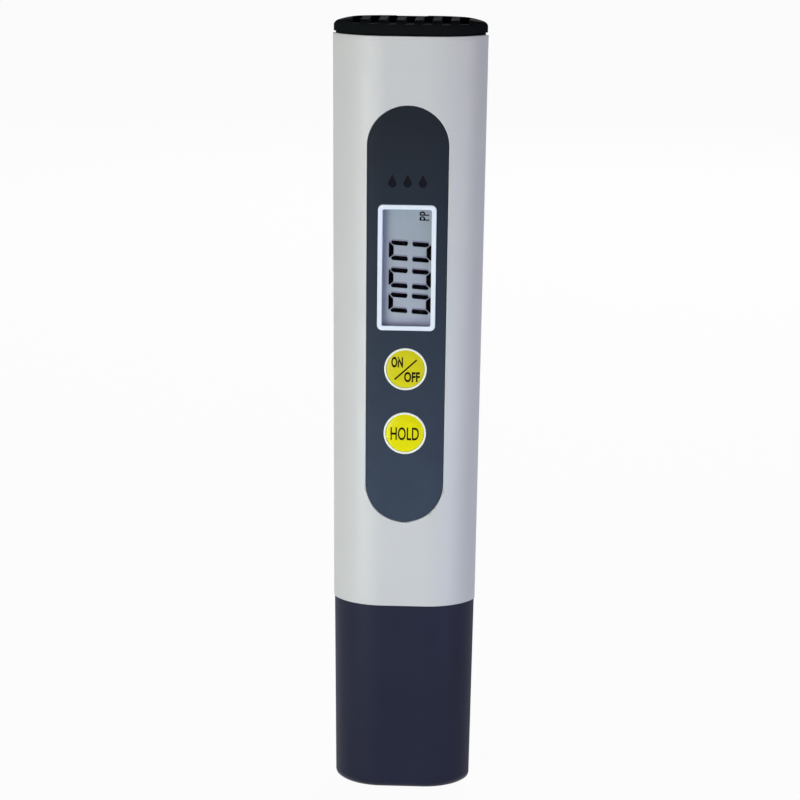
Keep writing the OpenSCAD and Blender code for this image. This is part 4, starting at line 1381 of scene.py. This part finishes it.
def make_battery_cap():
    neck = LID_INSET + LID_GAP_D
    under = SLEEVE_TOP + LID_GAP
    stations = [lid_station(SLEEVE_TOP, neck), lid_station(under, neck),
                lid_station(under, LID_INSET)]
    stations += rounded_over(lid_station, LID_TOP, LID_EDGE_R, LID_EDGE_STEPS, LID_INSET)
    lid = loft("lid", stations)
    reach, root = SLEEVE_TOP - PLUG_H, SLEEVE_TOP + LID_GAP / 2
    fit = SLEEVE_WALL + PLUG_FIT
    plug = loft("plug", [sleeve_station(reach, fit), sleeve_station(root, fit)])
    cut(plug, loft("hollow", [sleeve_station(reach - PAST, fit + PLUG_WALL),
                              sleeve_station(SLEEVE_TOP, fit + PLUG_WALL)]))
    cut(lid, plug, "UNION")
    for side in (-1, 1):
        rib = plate("rib", (side * CELL_X - HOLD_RIB_W / 2, -HOLD_RIB_T / 2, top_low.z),
                    (side * CELL_X + HOLD_RIB_W / 2, HOLD_RIB_T / 2, under))
        cut(lid, rib, "UNION")
    fallen_ends(lid)
    floor, wide = LID_TOP - SLOT_DEPTH, LID_INSET + SLOT_RIM
    room = loft("slot_room", [lid_station(floor, wide), lid_station(LID_TOP + PAST, wide)])
    cut(lid, cut(slots(-HALF_T, HALF_T, floor), room, "INTERSECT"))
    cut(lid, slots(-HALF_T - PAST, 0, LID_TOP - SLOT_MOUTH_D))
    cut(lid, plate("notch", (-NOTCH_W / 2, 0, LID_TOP - NOTCH_D),
                   (NOTCH_W / 2, HALF_T + PAST, LID_TOP + PAST)))
    softened(named(lid, "top_cap"), LID_BEVEL, segments=2)
    finished(lid, "battery_cap", "cap_black_plastic", "battery_cap")


make_battery_cap()

# %% [markdown]
# ## What shows when the caps are off
#
# With the navy cap pulled off, the probe shows: a black holder with a guard around two pins and
# the tube of the temperature sensor. With the battery cap off, the two cells and the ends of
# their contacts show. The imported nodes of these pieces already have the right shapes, but their
# round faces are shaded flat. Each is copied, its doubled points are merged, its triangles are
# joined into four-sided faces, and it is shaded smooth up to an angle.

# %% Smooth copies of inner pieces
SMOOTH_TO = 40
ROUNDED = (
    "probe_holder", "probe_potting", "left_electrode", "right_electrode", "temperature_sensor",
    "sensor_leads", "cell_cans", "cell_lids", "cell_gaskets", "board_carrier", "board_screws",
    "switch_domes", "timing_crystal", "trimmer_body", "trimmer_rotor", "on_off_plunger",
    "hold_plunger",
)
slot_of = {part["node"]: part["material_slot"] for part in frame["record"]["subparts"]}


def smoothed_copy(node):
    """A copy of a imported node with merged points, shaded smooth, that stands for the node."""
    original = frame["nodes"][node]
    twin = bpy.data.objects.new(f"{node}_smooth", original.data.copy())
    bpy.context.collection.objects.link(twin)
    edit_all(twin)
    tidy()
    bpy.ops.mesh.tris_convert_to_quads()
    leave()
    smooth(twin, SMOOTH_TO)
    finished(twin, original.parent.name.split(":")[1], slot_of[node], node)


for node in ROUNDED:
    smoothed_copy(node)

# %% [markdown]
# ## Pieces that stay as packed
#
# The rest have flat faces and lie inside, where they are seen only through a gap or with a cap
# off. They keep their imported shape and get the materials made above. The two glass sheets are
# clear, because the film in front of them already has the display's grey.

# %% Materials for the nodes that stay
KEPT = (
    "panel_tape", "lcd_front_glass", "lcd_rear_glass", "lcd_reflector", "lcd_holder",
    "zebra_strips", "circuit_board", "switch_bases", "switch_covers", "controller_chip",
    "amplifier_chip", "resistors", "capacitors", "contact_positive", "contact_negative",
    "contact_bridge", "cell_fillings",
)
make_clear("lcd_rear_glass", (0.86, 0.92, 0.90), 0.03, ior=1.52, body=0.5)
for node in KEPT:
    paint = "lcd_rear_glass" if slot_of[node] == "lcd_glass" else slot_of[node]
    for place in frame["nodes"][node].material_slots:
        place.material = paints[paint]
print("nodes kept as packed:", len(KEPT))

# %% [markdown]
#
# The Standard view keeps the colours as they were chosen.

# %% Finish
bpy.context.scene.view_settings.view_transform = "Standard"
